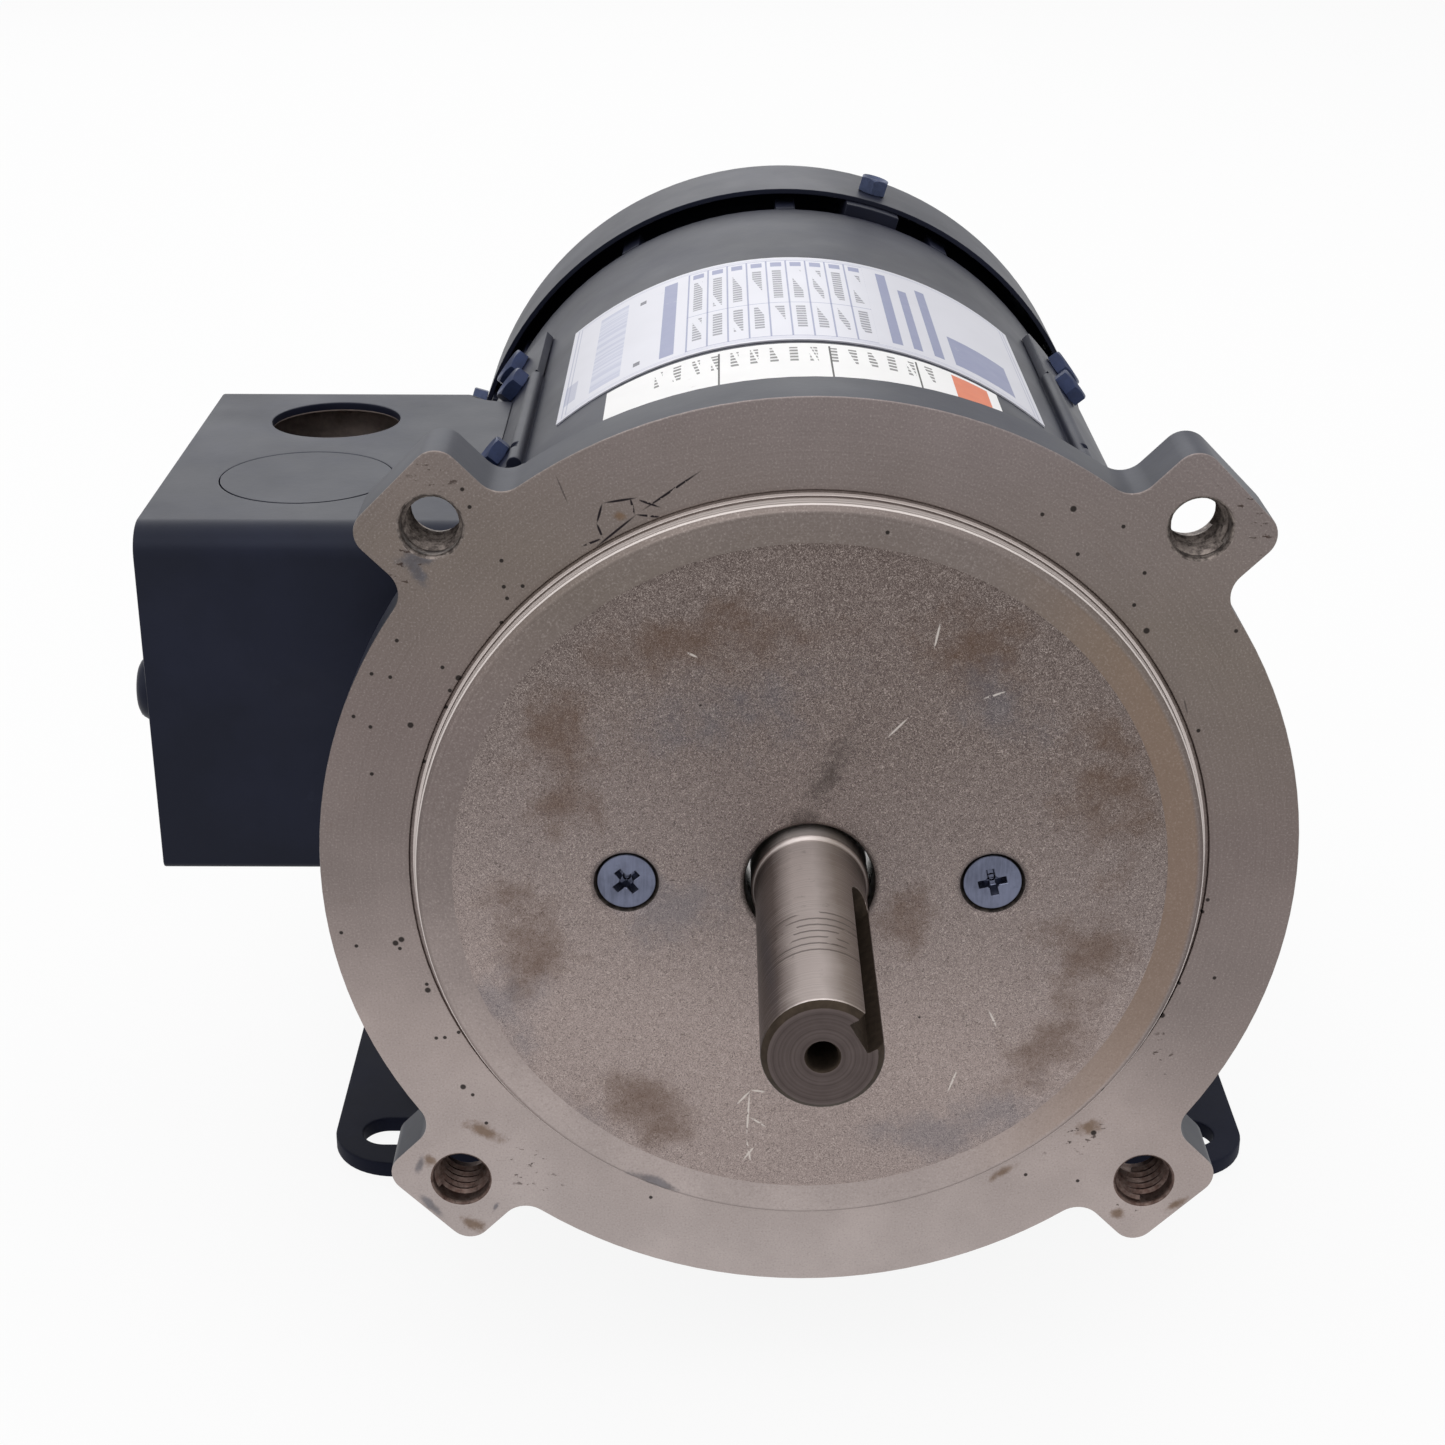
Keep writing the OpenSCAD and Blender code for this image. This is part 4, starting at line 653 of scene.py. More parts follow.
# Plated and pressed metals: colour, roughness, size of the grain, colour and share of the dirt, how metallic.
METALS = {
    "dull_zinc": ("3c4560", 0.42, 0.5, "2b2f3c", 0.3, 0.6),
    "blue_screw": ("222d4c", 0.4, 0.5, "131626", 0.5, 0.5),
    "green_zinc": ("5a8a4c", 0.34, 0.5, "2c3a28", 0.4),
    "box_inside": ("9a8c86", 0.6, 0.8, "6b5d55", 0.4, 0.0),
    "bearing_steel": ("c9c8c6", 0.14, 0.4, "8b8782", 0.12),
    "spring_steel": ("5a5c62", 0.32, 0.5, "3c2f28", 0.35),
    "pressed_shield": ("9a9da2", 0.26, 0.8, "5d564e", 0.25),
}
# Mouldings and pressed powders: colour, roughness, size of the grain, colour of the flecks, grain's depth.
MOULDINGS = {
    "phenolic": ("1f1713", 0.3, 0.5, "3a2a20", 0.02),
    "brush_carbon": ("2a2a2c", 0.5, 0.3, "6a6a6e", 0.01),
    "slot_fibre": ("6f8a7a", 0.6, 0.6, "a9b8a8", 0.03),
    "magnet_ferrite": ("35363a", 0.55, 0.7, "56575c", 0.03),
    "black_rubber": ("191919", 0.6, 0.4, "3a3a3a", 0.02),
}


def stock(name):
    """One of the finishes of the two tables."""
    build, (code, *rest) = (plain_metal, METALS[name]) if name in METALS else (moulding, MOULDINGS[name])
    return build(name, linear(code), *rest)




# ---------------------------------------------------------------- modelling


def only(piece):
    """Leaves one piece selected and active."""
    if bpy.context.object and bpy.context.object.mode != "OBJECT":
        bpy.ops.object.mode_set(mode="OBJECT")
    bpy.ops.object.select_all(action="DESELECT")
    piece.select_set(True)
    bpy.context.view_layer.objects.active = piece


def start(kind, name, **sizes):
    """Adds a primitive, in metres, with nothing else selected and its place in its mesh."""
    if bpy.context.view_layer.objects.active:
        bpy.context.view_layer.objects.active = None
    bpy.ops.object.select_all(action="DESELECT")
    getattr(bpy.ops.mesh, f"primitive_{kind}_add")(**sizes)
    piece = bpy.context.object
    piece.name = piece.data.name = name
    bpy.ops.object.transform_apply(location=True, rotation=True, scale=True)
    return piece


def pick(piece, test, kind="FACE"):
    """Enters edit mode with the faces or edges selected whose middle (mm) and direction pass the test."""
    only(piece)
    bpy.ops.object.mode_set(mode="EDIT")
    bpy.ops.mesh.select_mode(type=kind)
    bpy.ops.mesh.select_all(action="DESELECT")
    bpy.ops.object.mode_set(mode="OBJECT")
    mesh = piece.data
    if kind == "FACE":
        for face in mesh.polygons:
            face.select = bool(test(face.center / MM, face.normal))
    else:
        for edge in mesh.edges:
            a, b = (mesh.vertices[i].co for i in edge.vertices)
            edge.select = bool(test((a + b) / 2 / MM, (b - a).normalized()))
    bpy.ops.object.mode_set(mode="EDIT")


def enter():
    """Enters edit mode with everything selected."""
    bpy.ops.object.mode_set(mode="EDIT")
    bpy.ops.mesh.select_all(action="SELECT")


def leave():
    bpy.ops.object.mode_set(mode="OBJECT")


def resize(*value):
    """Scales what is picked about the origin."""
    bpy.ops.transform.resize(value=value, center_override=(0, 0, 0))


def raise_faces(height):
    """Extrudes the picked faces upwards by a height in millimetres."""
    bpy.ops.mesh.extrude_region_move(TRANSFORM_OT_translate={"value": (0, 0, height * MM)})
    leave()


def modify(piece, kind, **settings):
    """Adds a modifier and applies it."""
    only(piece)
    modifier = piece.modifiers.new(kind.lower(), kind)
    for key, value in settings.items():
        setattr(modifier, key, value)
    bpy.ops.object.modifier_apply(modifier=modifier.name)


def carve(piece, tool, operation="DIFFERENCE"):
    """Cuts the tool out of the piece, or joins it, and removes the tool."""
    modify(piece, "BOOLEAN", object=tool, operation=operation, solver="EXACT")
    bpy.data.objects.remove(tool)


def settle(piece, angle):
    """Applies the piece's place and shades it smooth up to the angle."""
    only(piece)
    bpy.ops.object.transform_apply(location=True, rotation=True, scale=True)
    bpy.ops.object.shade_smooth_by_angle(angle=math.radians(angle))
    return piece


def finish_piece(piece, body, slot, *finishes, replaces=()):
    """Gives a piece its finishes and body, and hides the CAD nodes that it stands for; the slot is not used."""
    piece.data.materials.clear()
    for finish in finishes:
        piece.data.materials.append(finish)
    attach(piece, body)
    if replaces:
        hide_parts(*replaces)
    return piece


def stand_in(piece, node, *finishes):
    """Finishes a piece that takes the place of a CAD node, on the node's body."""
    return finish_piece(piece, BODY_OF[node], SLOT_OF[node], *finishes, replaces=[node])


def copied(piece, name, place):
    """A copy with its own mesh, moved by a matrix."""
    twin = bpy.data.objects.new(name, piece.data.copy())
    twin.data.name = name
    twin.data.transform(place)
    bpy.context.scene.collection.objects.link(twin)
    return twin


def welded(node, name):
    """A copy of a CAD node with its triangles joined up and its flat faces whole."""
    piece = bpy.data.objects.new(name, NODES[node].data.copy())
    piece.data.name = name
    bpy.context.scene.collection.objects.link(piece)
    only(piece)
    bpy.ops.mesh.customdata_custom_splitnormals_clear()
    enter()
    bpy.ops.mesh.remove_doubles(threshold=0.002 * MM)
    bpy.ops.mesh.dissolve_limited(angle_limit=math.radians(0.4))
    leave()
    return piece


def softened(node, name, share=1.0):
    """A welded copy of a CAD node, its edges broken by a share of the rounding and in the second finish."""
    width = share * bpy.context.scene.motor_sizes.edge_round
    piece = welded(node, name)
    piece.data.materials.clear()
    for _ in range(2):
        piece.data.materials.append(None)
    modify(piece, "BEVEL", width=width, segments=2, limit_method="ANGLE", angle_limit=math.radians(30),
           use_clamp_overlap=False, material=1)
    bpy.ops.object.shade_smooth_by_angle(angle=math.radians(35))
    modify(piece, "WEIGHTED_NORMAL", keep_sharp=True, weight=60)
    return piece


def solids(node):
    """The separate solids of a CAD node, as lists of points in millimetres from the face and the axis."""
    points = [(v.co - Vector((0, FACE_Y, AXIS_Z))) / MM for v in NODES[node].data.vertices]
    keys = [tuple(round(c, 2) for c in point) for point in points]
    chief = {key: key for key in keys}

    def head(key):
        while chief[key] != key:
            chief[key] = chief[chief[key]]
            key = chief[key]
        return key

    for face in NODES[node].data.polygons:
        first, *rest = (keys[i] for i in face.vertices)
        for other in rest:
            chief[head(other)] = head(first)
    groups = {}
    for key, point in zip(keys, points):
        groups.setdefault(head(key), []).append(point)
    return [groups[key] for key in sorted(groups)]


def span(points, way):
    """Lowest and highest reach of the points along a direction."""
    reach = [point.dot(way) for point in points]
    return min(reach), max(reach)


def outward(points):
    """The direction from the shaft's axis through the middle of the points."""
    mid = [sum(span(points, Vector(way))) / 2 for way in ((1, 0, 0), (0, 0, 1))]
    return Vector((mid[0], 0, mid[1])).normalized()


def seat(points, out, drop, turn=0.0):
    """Matrix that stands a piece along out over the points' middle, with its z = 0 a drop below their top."""
    side = Vector((0, 1, 0)).cross(out)
    side = side.normalized() if side.length > 0.5 else Vector((1, 0, 0))
    ahead = out.cross(side)
    spot = out * (span(points, out)[1] - drop)
    for way in (side, ahead):
        spot += way * (sum(span(points, way)) / 2)
    spin = Matrix((side, ahead, out)).transposed().to_4x4()
    return Matrix.Translation(Vector((0, FACE_Y, AXIS_Z)) + spot * MM) @ spin @ Matrix.Rotation(turn, 4, "Z")


# ---------------------------------------------------------------- screws


def hex_screw(name, flats, washer_r, washer_h, height, shank_r, shank_l, facets):
    """Hex head with a chamfered, dished top, on a washer, with its shank; seat at z = 0. Millimetres."""
    top = washer_h + height
    head = start("cylinder", name, vertices=6, radius=flats / math.sqrt(3) * MM, depth=(height + 0.2) * MM,
                 location=(0, 0, (washer_h - 0.2 + top) / 2 * MM))
    rim, deep = flats * 0.475, height + 2
    cone = start("cone", "chamfer", vertices=facets, radius1=(rim + deep / math.tan(math.radians(30))) * MM,
                 radius2=rim * MM, depth=deep * MM, location=(0, 0, (top - deep / 2) * MM))
    carve(head, cone, "INTERSECT")
    pick(head, lambda centre, normal: normal.z > 0.99 and centre.z > top - 0.05)
    bpy.ops.mesh.inset(thickness=flats * 0.12 * MM)
    bpy.ops.transform.translate(value=(0, 0, -0.09 * flats * MM))
    resize(0.8, 0.8, 1)
    leave()
    washer = start("cylinder", "washer", vertices=facets, radius=washer_r * MM, depth=washer_h * MM,
                   location=(0, 0, washer_h / 2 * MM))
    pick(washer, lambda centre, way: centre.z > washer_h - 0.01 and abs(way.z) < 0.1, "EDGE")
    bpy.ops.mesh.bevel(offset=washer_h * 0.4 * MM, segments=3, affect="EDGES")
    leave()
    pick(washer, lambda centre, normal: normal.z < -0.99)
    bpy.ops.mesh.inset(thickness=(washer_r - shank_r) * MM)
    raise_faces(-shank_l)
    carve(head, washer, "UNION")
    return settle(head, 25)


def recess_blade(width, long, depth, taper):
    """A tapered bar, standing down from z = 0, that cuts a slot or one arm of a cross recess."""
    blade = start("cube", "blade", size=MM)
    enter()
    resize(long, width, depth + 1)
    bpy.ops.transform.translate(value=(0, 0, (1 - depth) / 2 * MM))
    leave()
    pick(blade, lambda centre, normal: normal.z < -0.9)
    resize(taper, 0.72, 1)
    leave()
    return blade


def countersunk_screw(name, head_r, head_h, shank_r, shank_l, width, long, facets):
    """Countersunk screw with a cross recess; the top of its head is at z = 0. Millimetres."""
    lip = 0.4
    screw = start("cone", name, vertices=facets, radius1=shank_r * MM, radius2=head_r * MM,
                  depth=(head_h - lip) * MM, location=(0, 0, -(head_h + lip) / 2 * MM))
    pick(screw, lambda centre, normal: normal.z > 0.9)
    raise_faces(lip)
    pick(screw, lambda centre, normal: normal.z < -0.9)
    raise_faces(head_h - shank_l)
    pick(screw, lambda centre, way: centre.z > -0.01 and abs(way.z) < 0.1, "EDGE")
    bpy.ops.mesh.bevel(offset=0.22 * MM, segments=3, affect="EDGES")
    leave()
    for turn in (0, math.pi / 2):
        blade = recess_blade(width, long, 1.9, 0.5)
        blade.rotation_euler.z = turn
        carve(screw, blade)
    core = start("cone", "core", vertices=12, radius1=0.5 * MM, radius2=width * 0.95 * MM, depth=2.6 * MM,
                 location=(0, 0, -0.9 * MM))
    carve(screw, core)
    modify(screw, "BEVEL", width=0.07 * MM, segments=1, limit_method="ANGLE", angle_limit=math.radians(50),
           use_clamp_overlap=False)
    return settle(screw, 28)


def slotted_screw(name, head_r, head_h, crown, shank_r, shank_l, slot, deep, facets):
    """Round crowned head with a slot; its seat is at z = 0. Millimetres."""
    screw = start("cylinder", name, vertices=facets, radius=head_r * MM, depth=head_h * MM,
                  location=(0, 0, head_h / 2 * MM))
    pick(screw, lambda centre, way: centre.z > head_h - 0.01 and abs(way.z) < 0.1, "EDGE")
    bpy.ops.mesh.bevel(offset=crown * MM, segments=5, affect="EDGES")
    leave()
    pick(screw, lambda centre, normal: normal.z < -0.99)
    bpy.ops.mesh.inset(thickness=(head_r - shank_r) * MM)
    raise_faces(-shank_l)
    blade = recess_blade(slot, 2.4 * head_r, deep, 1)
    blade.location.z = head_h * MM
    carve(screw, blade)
    modify(screw, "BEVEL", width=0.12 * MM, segments=1, limit_method="ANGLE", angle_limit=math.radians(50),
           use_clamp_overlap=False)
    return settle(screw, 28)


# ---------------------------------------------------------------- operators


MADE = {}


def made(build, *settings):
    """A finish, or one named in the tables, built once."""
    key = (build, *settings)
    if key not in MADE:
        MADE[key] = stock(build) if isinstance(build, str) else build(*settings)
    return MADE[key]


def paint(edge_wear_and_highlight=False, matt=False):
    return made(satin_paint, edge_wear_and_highlight, matt)


def painted(node, name, share=1.0, matt=False):
    """A painted CAD part with its edges broken, chipped and lightened by a painted highlight."""
    return stand_in(softened(node, name, share), node, paint(False, matt), paint(True, matt))


def any_solid(points):
    return True


def screws_from(node, pattern, name, drop, finish, way=None, first=0.0, step=0.37, wanted=any_solid):
    """One copy of a screw on each wanted solid of a CAD node, each turned a little further than the last."""
    group = [points for points in solids(node) if wanted(points)]
    for number, points in enumerate(group, 1):
        place = seat(points, way or outward(points), drop, first + step * (number - 1))
        stand_in(copied(pattern, f"{name}_{number}", place), node, finish)
    bpy.data.objects.remove(pattern)


def reach_inwards(node, drop, way=None, wanted=any_solid):
    """How far the first of the node's wanted solids reaches below its seat, in millimetres."""
    points = next(points for points in solids(node) if wanted(points))
    low, high = span(points, way or outward(points))
    return high - drop - low


# The drive end's finishes, in the order of its material slots.
TURNED, TURNED_EDGE, CAST, PAINTED, PAINTED_EDGE, THREADED, RAW = range(7)


def zone(face, vertices):
    """The finish of a face of the drive end, by where its corners lie and which way it faces."""
    corners = [(vertices[i].co - Vector((0, FACE_Y, AXIS_Z))) / MM for i in face.vertices]
    bolt_x = BOLT_R * math.sqrt(0.5)
    middle = sum(corners, Vector()) / len(corners)
    r, bolt = (sum(lengths) / len(corners) for lengths in (
        [math.hypot(c.x, c.z) for c in corners],
        [math.hypot(abs(c.x) - bolt_x, abs(c.z) - bolt_x) for c in corners]))
    if bolt < TAPPED_R + 0.4:
        return THREADED
    if middle.y < FACE_OUT + 0.5 and r < REGISTER_R - 5.4:
        return CAST
    edge = face.material_index
    turned_depth = 2 if r < REGISTER_R + 3 else 0.35
    if r > REGISTER_R - 7 and middle.y < turned_depth:
        return TURNED_EDGE if edge else TURNED
    if r > REGISTER_R + 3 and face.normal.dot(Vector((middle.x, 0, middle.z))) > -0.5 * r:
        return PAINTED_EDGE if edge else PAINTED
    return RAW


class MOTOR_OT_drive_end(bpy.types.Operator):
    """Drive end casting with broken edges, and the thread in its ears"""

    bl_idname = "motor.drive_end"
    bl_label = "Drive end"

    def execute(self, context):
        sizes = context.scene.motor_sizes
        casting = softened("drive_endbell", "drive_end")
        stand_in(casting, "drive_endbell", made(turned_face), made(turned_face, True), made(cast_centre),
                 paint(), paint(True), made(rusty_thread), made(raw_iron))
        for face in casting.data.polygons:
            face.material_index = zone(face, casting.data.vertices)
        pitch, foot_r = sizes.thread_pitch / MM, TAPPED_R + 0.14
        crest_r = TAPPED_R - sizes.thread_depth / MM
        thread = start("circle", "thread", vertices=3, radius=MM, fill_type="NOTHING")
        ridge = ((crest_r, 0), (foot_r, 0.36 * pitch), (foot_r, -0.36 * pitch))
        for vertex, (across, along) in zip(thread.data.vertices, ridge):
            vertex.co = (across * MM, 0, along * MM)
        turns = int((FLANGE_END - 2) / pitch)
        modify(thread, "SCREW", axis="Z", screw_offset=sizes.thread_pitch, iterations=turns, steps=26,
               render_steps=26, use_normal_calculate=True)
        enter()
        bpy.ops.mesh.fill_holes(sides=3)
        bpy.ops.mesh.select_all(action="SELECT")
        bpy.ops.mesh.normals_make_consistent(inside=False)
        leave()
        settle(thread, 40)
        for number in range(4):
            clock = math.radians(45 + 90 * number)
            mouth = Vector((BOLT_R * math.sin(clock), 1 + pitch * 0.4, BOLT_R * math.cos(clock)))
            place = seat([mouth], Vector((0, 1, 0)), 0, 0.6 + number)
            finish_piece(copied(thread, f"ear_thread_{number + 1}", place), "stator", "cast_iron",
                         made(rusty_thread))
        bpy.data.objects.remove(thread)
        return {"FINISHED"}


class MOTOR_OT_shaft(bpy.types.Operator):
    """Keyed shaft with its edges broken"""

    bl_idname = "motor.shaft"
    bl_label = "Shaft"

    def execute(self, context):
        stand_in(softened("shaft", "keyed_shaft", 0.6), "shaft", made(shaft_steel), made(shaft_steel, True))
        return {"FINISHED"}


class MOTOR_OT_face_screws(bpy.types.Operator):
    """Two countersunk screws in the drive end's face"""

    bl_idname = "motor.face_screws"
    bl_label = "Face screws"

    def execute(self, context):
        sizes = context.scene.motor_sizes
        way, left_turn = Vector((0, -1, 0)), math.radians(39)
        screw_points = solids("retainer_screws")[0]
        low, high = span(screw_points, way)
        left, right = span(screw_points, Vector((1, 0, 0)))
        screw = countersunk_screw("face_screw", (right - left) / 2, 2.65, 2.05, high - low,
                                  sizes.recess_width / MM, sizes.recess_length / MM, sizes.round_sides)
        screws_from("retainer_screws", screw, "face_screw", 0.02, made(bright_zinc), way, left_turn,
                    sizes.recess_turn - left_turn)
        return {"FINISHED"}


class MOTOR_OT_housing(bpy.types.Operator):
    """Shell, side pads and rear casting with broken, chipped edges that carry a painted highlight"""

    bl_idname = "motor.housing"
    bl_label = "Housing"

    def execute(self, context):
        painted("shell", "shell_tube", 0.7)
        painted("side_pad_right", "right_pad", 0.8)
        painted("side_pad_left", "left_pad", 0.8)
        painted("rear_endbell", "rear_casting")
        return {"FINISHED"}


class MOTOR_OT_fan_cover(bpy.types.Operator):
    """Pressed fan cover with its grille"""

    bl_idname = "motor.fan_cover"
    bl_label = "Fan cover"

    def execute(self, context):
        painted("fan_cover", "cover_pressing", 0.5)
        return {"FINISHED"}


class MOTOR_OT_conduit_box(bpy.types.Operator):
    """Conduit box, closed knockout and lid"""

    bl_idname = "motor.conduit_box"
    bl_label = "Conduit box"

    def execute(self, context):
        casting = painted("conduit_box", "box_casting")
        low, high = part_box("conduit_box")
        middle, skin = (low + high) / 2, 1.2 * MM
        inside = len(casting.data.materials)
        casting.data.materials.append(made("box_inside"))
        for face in casting.data.polygons:
            away = face.center - middle
            inner = all(abs(away[i]) < (high[i] - low[i]) / 2 - skin for i in range(3))
            if inner and face.normal.dot(away) < 0:
                face.material_index = inside
        painted("conduit_lid", "box_lid", 0.8)
        painted("blank_knockout", "closed_knockout", 0.4)
        return {"FINISHED"}


class MOTOR_OT_foot(bpy.types.Operator):
    """Pressed foot"""

    bl_idname = "motor.foot"
    bl_label = "Foot"

    def execute(self, context):
        painted("base", "pressed_foot", 1.4, matt=True)
        return {"FINISHED"}


class MOTOR_OT_hex_screws(bpy.types.Operator):
    """Hex washer screws of the fan cover, foot, box, ground and pads"""

    bl_idname = "motor.hex_screws"
    bl_label = "Hex screws"

    def execute(self, context):
        sizes = context.scene.motor_sizes
        flats, washer = sizes.screw_flats / MM, sizes.screw_washer / MM
        pad, stud, cover = sizes.pad_flats / MM, sizes.stud_flats / MM, sizes.cover_flats / MM
        stud_zone = 15
        rear = (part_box("side_pad_left")[1].y - FACE_Y) / MM - stud_zone

        def behind(points):
            return sum(span(points, Vector((0, 1, 0)))) / 2 > rear

        def ahead(points):
            return not behind(points)

        left, tall = Vector((-1, 0, 0)), 0.42 * flats
        jobs = (("cover_screws", "cover_screw", "dull_zinc", cover, 0.3, 2.7, None, 0.2, any_solid),
                ("base_screws", "foot_screw", bright_zinc, flats, washer, tall, None, 0.5, any_solid),
                ("box_bolts", "box_bolt", bright_zinc, flats, washer, tall, left, 0.1, any_solid),
                ("ground_screw", "ground_screw_head", "green_zinc", flats, washer, tall, left, 0.4,
                 any_solid),
                ("pad_screws", "pad_stud", "blue_screw", stud, 0.3, 2.1, None, 0.3, behind),
                ("pad_screws", "pad_screw", "blue_screw", pad, 0.3, 2.3, None, 0.15, ahead))
        for node, name, finish, across, under, height, way, first, wanted in jobs:
            drop = height + under
            deep = reach_inwards(node, drop, way, wanted)
            wide = 0.68 if under == washer else 0.5
            screw = hex_screw(name, across, wide * across, under, height, 0.3 * across, deep,
                              sizes.round_sides)
            screws_from(node, screw, name, drop, made(finish), way, first, wanted=wanted)
        return {"FINISHED"}


class MOTOR_OT_slotted_heads(bpy.types.Operator):
    """Slotted lid screws and brush caps"""

    bl_idname = "motor.slotted_heads"
    bl_label = "Lid screws and brush caps"

    def execute(self, context):
        sizes, way = context.scene.motor_sizes, Vector((-1, 0, 0))
        lid_head = 2.4
        deep = reach_inwards("lid_screws", lid_head, way)
        screw = slotted_screw("lid_screw", 5.2, lid_head, 1.9, 1.9, deep, 1.2, 1.1, sizes.round_sides)
        screws_from("lid_screws", screw, "lid_screw", lid_head, paint(), way, 0.5, 0.9)
        cap_head = 3
        for side in ("right", "left"):
            node = f"brush_cap_{side}"
            deep = reach_inwards(node, cap_head)
            cap = slotted_screw(node + "_head", 8.6, cap_head, 0.9, 6.4, deep, 1.8, 1.4, sizes.round_sides)
            screws_from(node, cap, f"brush_plug_{side}", cap_head, made("phenolic"), None, 0.3)
        return {"FINISHED"}


class MOTOR_OT_brush_springs(bpy.types.Operator):
    """Brush springs: a welded, smoothed copy of each brush's spring, with a mesh of its own"""

    bl_idname = "motor.brush_springs"
    bl_label = "Brush springs"

    def execute(self, context):
        for joint in frame["joints"]:
            side, _, kind = joint["name"].partition("_")
            if kind != "brush_slide":
                continue
            node = f"brush_spring_{side}"
            spring = settle(welded(node, f"coil_spring_{side}"), 40)
            finish_piece(spring, BODY_OF[node], SLOT_OF[node], made("spring_steel"), replaces=[node])
            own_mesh(spring)
        return {"FINISHED"}


class MOTOR_OT_finishes(bpy.types.Operator):
    """Finishes of the parts that stay as they come from the frame"""

    bl_idname = "motor.finishes"
    bl_label = "Finishes"

    def execute(self, context):
        by_slot = {
            "painted_steel": paint(), "cast_iron": made(raw_iron), "ground_steel": made("bearing_steel"),
            "dark_steel": made("spring_steel"), "zinc": made(bright_zinc), "green_zinc": made("green_zinc"),
            "phenolic": made("phenolic"), "carbon": made("brush_carbon"), "copper": made(copper_windings),
            "fibre": made("slot_fibre"), "lamination": made(laminated_iron),
            "ferrite": made("magnet_ferrite"), "rubber": made("black_rubber"),
            "shield": made("pressed_shield"), "wire": made(lead_insulation), "label": made(silver_label),
            "sticker": made(white_label)}
        for node, piece in NODES.items():
            for place in piece.material_slots:
                place.material = by_slot[SLOT_OF[node]]
        return {"FINISHED"}


class MOTOR_OT_stage(bpy.types.Operator):
    """Pale floor, soft lamps, even room light and the camera"""

    bl_idname = "motor.stage"
    bl_label = "Stage"

    def execute(self, context):
        scene = bpy.context.scene
        studio = scene.motor_studio
        scene.view_settings.view_transform = "Standard"
        floor = start("plane", "floor", size=14)
        floor.data.materials.append(floor_finish(studio.floor))
        room_light(scene, studio.sky)
        middle = Vector((0, FACE_Y * 0.3, AXIS_Z))
        lamps = (("overhead_lamp", studio.key_power, (0.0, 0.1, 1.3), 1.8),
                 ("back_lamp", studio.back_power, (-0.3, 1.5, 1.0), 1.2),
                 ("front_lamp", studio.front_power, (-0.2, -1.0, 1.0), 0.55),
                 ("left_lamp", studio.side_power, (-1.4, -0.7, 0.9), 0.9))
        for name, power, spot, size in lamps:
            light = bpy.data.lights.new(name, "AREA")
            light.shape, light.size, light.energy = "SQUARE", size, power
            lamp = bpy.data.objects.new(name, light)
            scene.collection.objects.link(lamp)
            lamp.location = spot
            lamp.rotation_euler = (middle - Vector(spot)).to_track_quat("-Z", "Y").to_euler()
        lens = bpy.data.cameras.new("camera")
        lens.lens, lens.sensor_width = 61.27, 36
        lens.shift_x, lens.shift_y = -0.001, 0.0429
        lens.clip_start, lens.clip_end = 0.02, 30
        camera = bpy.data.objects.new("camera", lens)
        scene.collection.objects.link(camera)
        camera.location = (-0.01367, FACE_Y - 0.32145, 0.2477)
        aim = Vector((-0.01244, FACE_Y, 0.10311)) - camera.location
        camera.rotation_euler = (aim.to_track_quat("-Z", "Y").to_matrix()
                                 @ Matrix.Rotation(math.radians(0.25), 3, "Z")).to_euler()
        scene.camera = camera
        return {"FINISHED"}


def floor_finish(colour):
    """Pale floor that shows almost white and still takes a soft shadow."""
    f = Finish("pale_floor")
    shade = f.mix(f.noise(400, 2) * 0.3, tuple(colour), shaded(colour, 0.985))
    lit = f.node("ShaderNodeBsdfDiffuse", {}, {"Color": shade})
    glow = f.node("ShaderNodeEmission", {}, {"Color": (1, 1, 1, 1), "Strength": 1})
    seen = seen_rays(f)
    surface = f.node("ShaderNodeMixShader", {}, {0: seen * 0.9, 1: lit, 2: glow})
    f.node("ShaderNodeOutputMaterial", {}, {"Surface": surface})
    return f.material


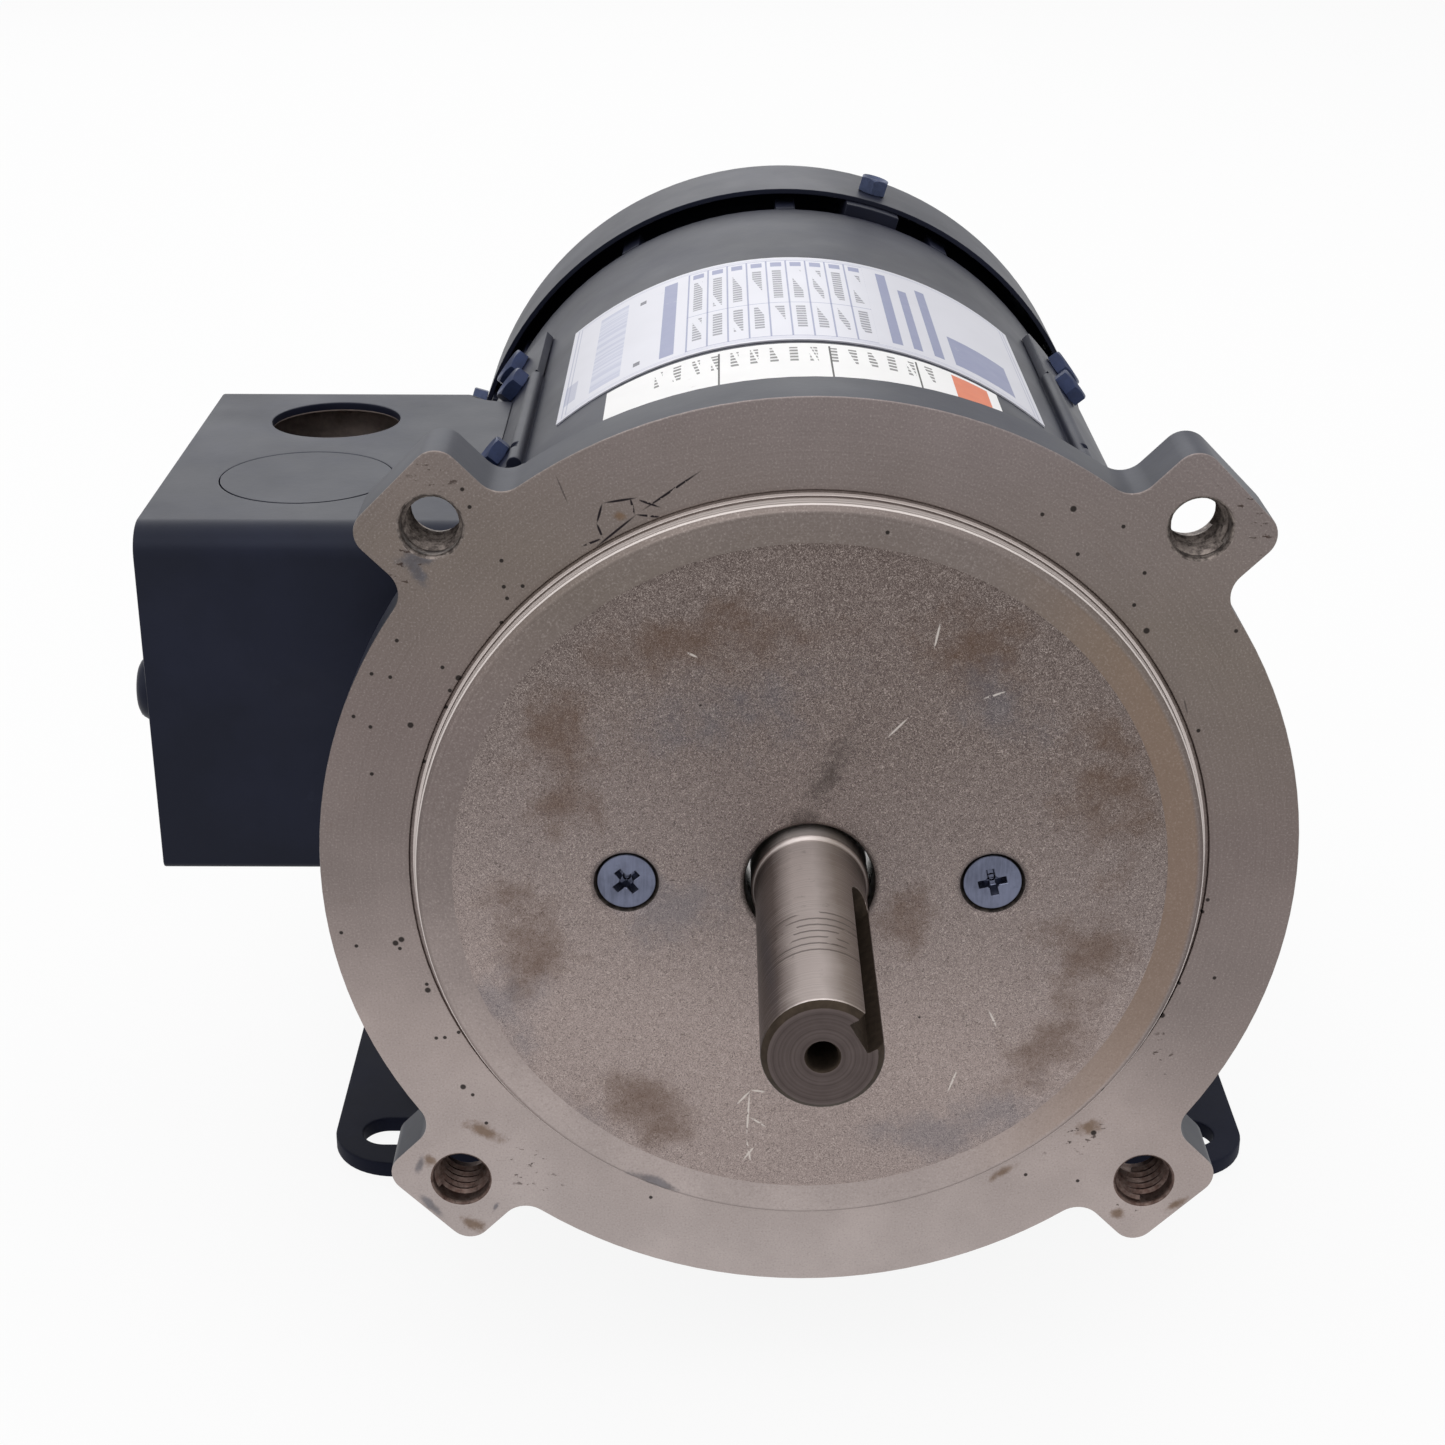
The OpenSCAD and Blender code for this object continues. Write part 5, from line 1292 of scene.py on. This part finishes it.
def seen_rays(f):
    """1 for camera, glossy and transmission rays, which see the white background."""
    camera, glossy, through = (f.node("ShaderNodeLightPath", {}, {}, f"Is {kind} Ray")
                               for kind in ("Camera", "Glossy", "Transmission"))
    return camera.most(glossy).most(through)


def room_light(scene, strength):
    """Even room light, with a white background behind it."""
    world = bpy.data.worlds.new("room")
    scene.world = world
    world.use_nodes = True
    f = Finish.__new__(Finish)
    f.tree = world.node_tree
    f.tree.nodes.clear()
    even = f.node("ShaderNodeBackground", {}, {"Color": (1, 1, 1, 1), "Strength": strength})
    white = f.node("ShaderNodeBackground", {}, {"Color": (1, 1, 1, 1), "Strength": 1})
    surface = f.node("ShaderNodeMixShader", {}, {0: seen_rays(f), 1: even, 2: white})
    f.node("ShaderNodeOutputWorld", {}, {"Surface": surface})


STEPS = (MOTOR_OT_finishes, MOTOR_OT_drive_end, MOTOR_OT_shaft, MOTOR_OT_face_screws, MOTOR_OT_housing,
         MOTOR_OT_fan_cover, MOTOR_OT_conduit_box, MOTOR_OT_foot, MOTOR_OT_hex_screws, MOTOR_OT_slotted_heads,
         MOTOR_OT_brush_springs, MOTOR_OT_stage)


class MOTOR_PT_panel(bpy.types.Panel):
    """Sizes, colours, light and the build steps"""

    bl_idname = "MOTOR_PT_panel"
    bl_label = "Motor"
    bl_space_type = "VIEW_3D"
    bl_region_type = "UI"
    bl_category = "Motor"

    def draw(self, context):
        for name in GROUPS:
            group = getattr(context.scene, name)
            box = self.layout.box()
            for prop in group.__annotations__:
                box.prop(group, prop)
        for step in STEPS:
            self.layout.operator(step.bl_idname)


GROUPS = {"motor_sizes": MotorSizes, "motor_colours": MotorColours, "motor_studio": MotorStudio}
CLASSES = (*GROUPS.values(), *STEPS, MOTOR_PT_panel)


def register():
    for cls in CLASSES:
        bpy.utils.register_class(cls)
    for name, group in GROUPS.items():
        setattr(bpy.types.Scene, name, PointerProperty(type=group))


def unregister():
    for name in GROUPS:
        delattr(bpy.types.Scene, name)
    for cls in reversed(CLASSES):
        bpy.utils.unregister_class(cls)


def main():
    register()
    bpy.ops.object.select_all(action="DESELECT")
    for step in STEPS:
        getattr(bpy.ops.motor, step.bl_idname.split(".")[1])()


if __name__ == "__main__":
    main()
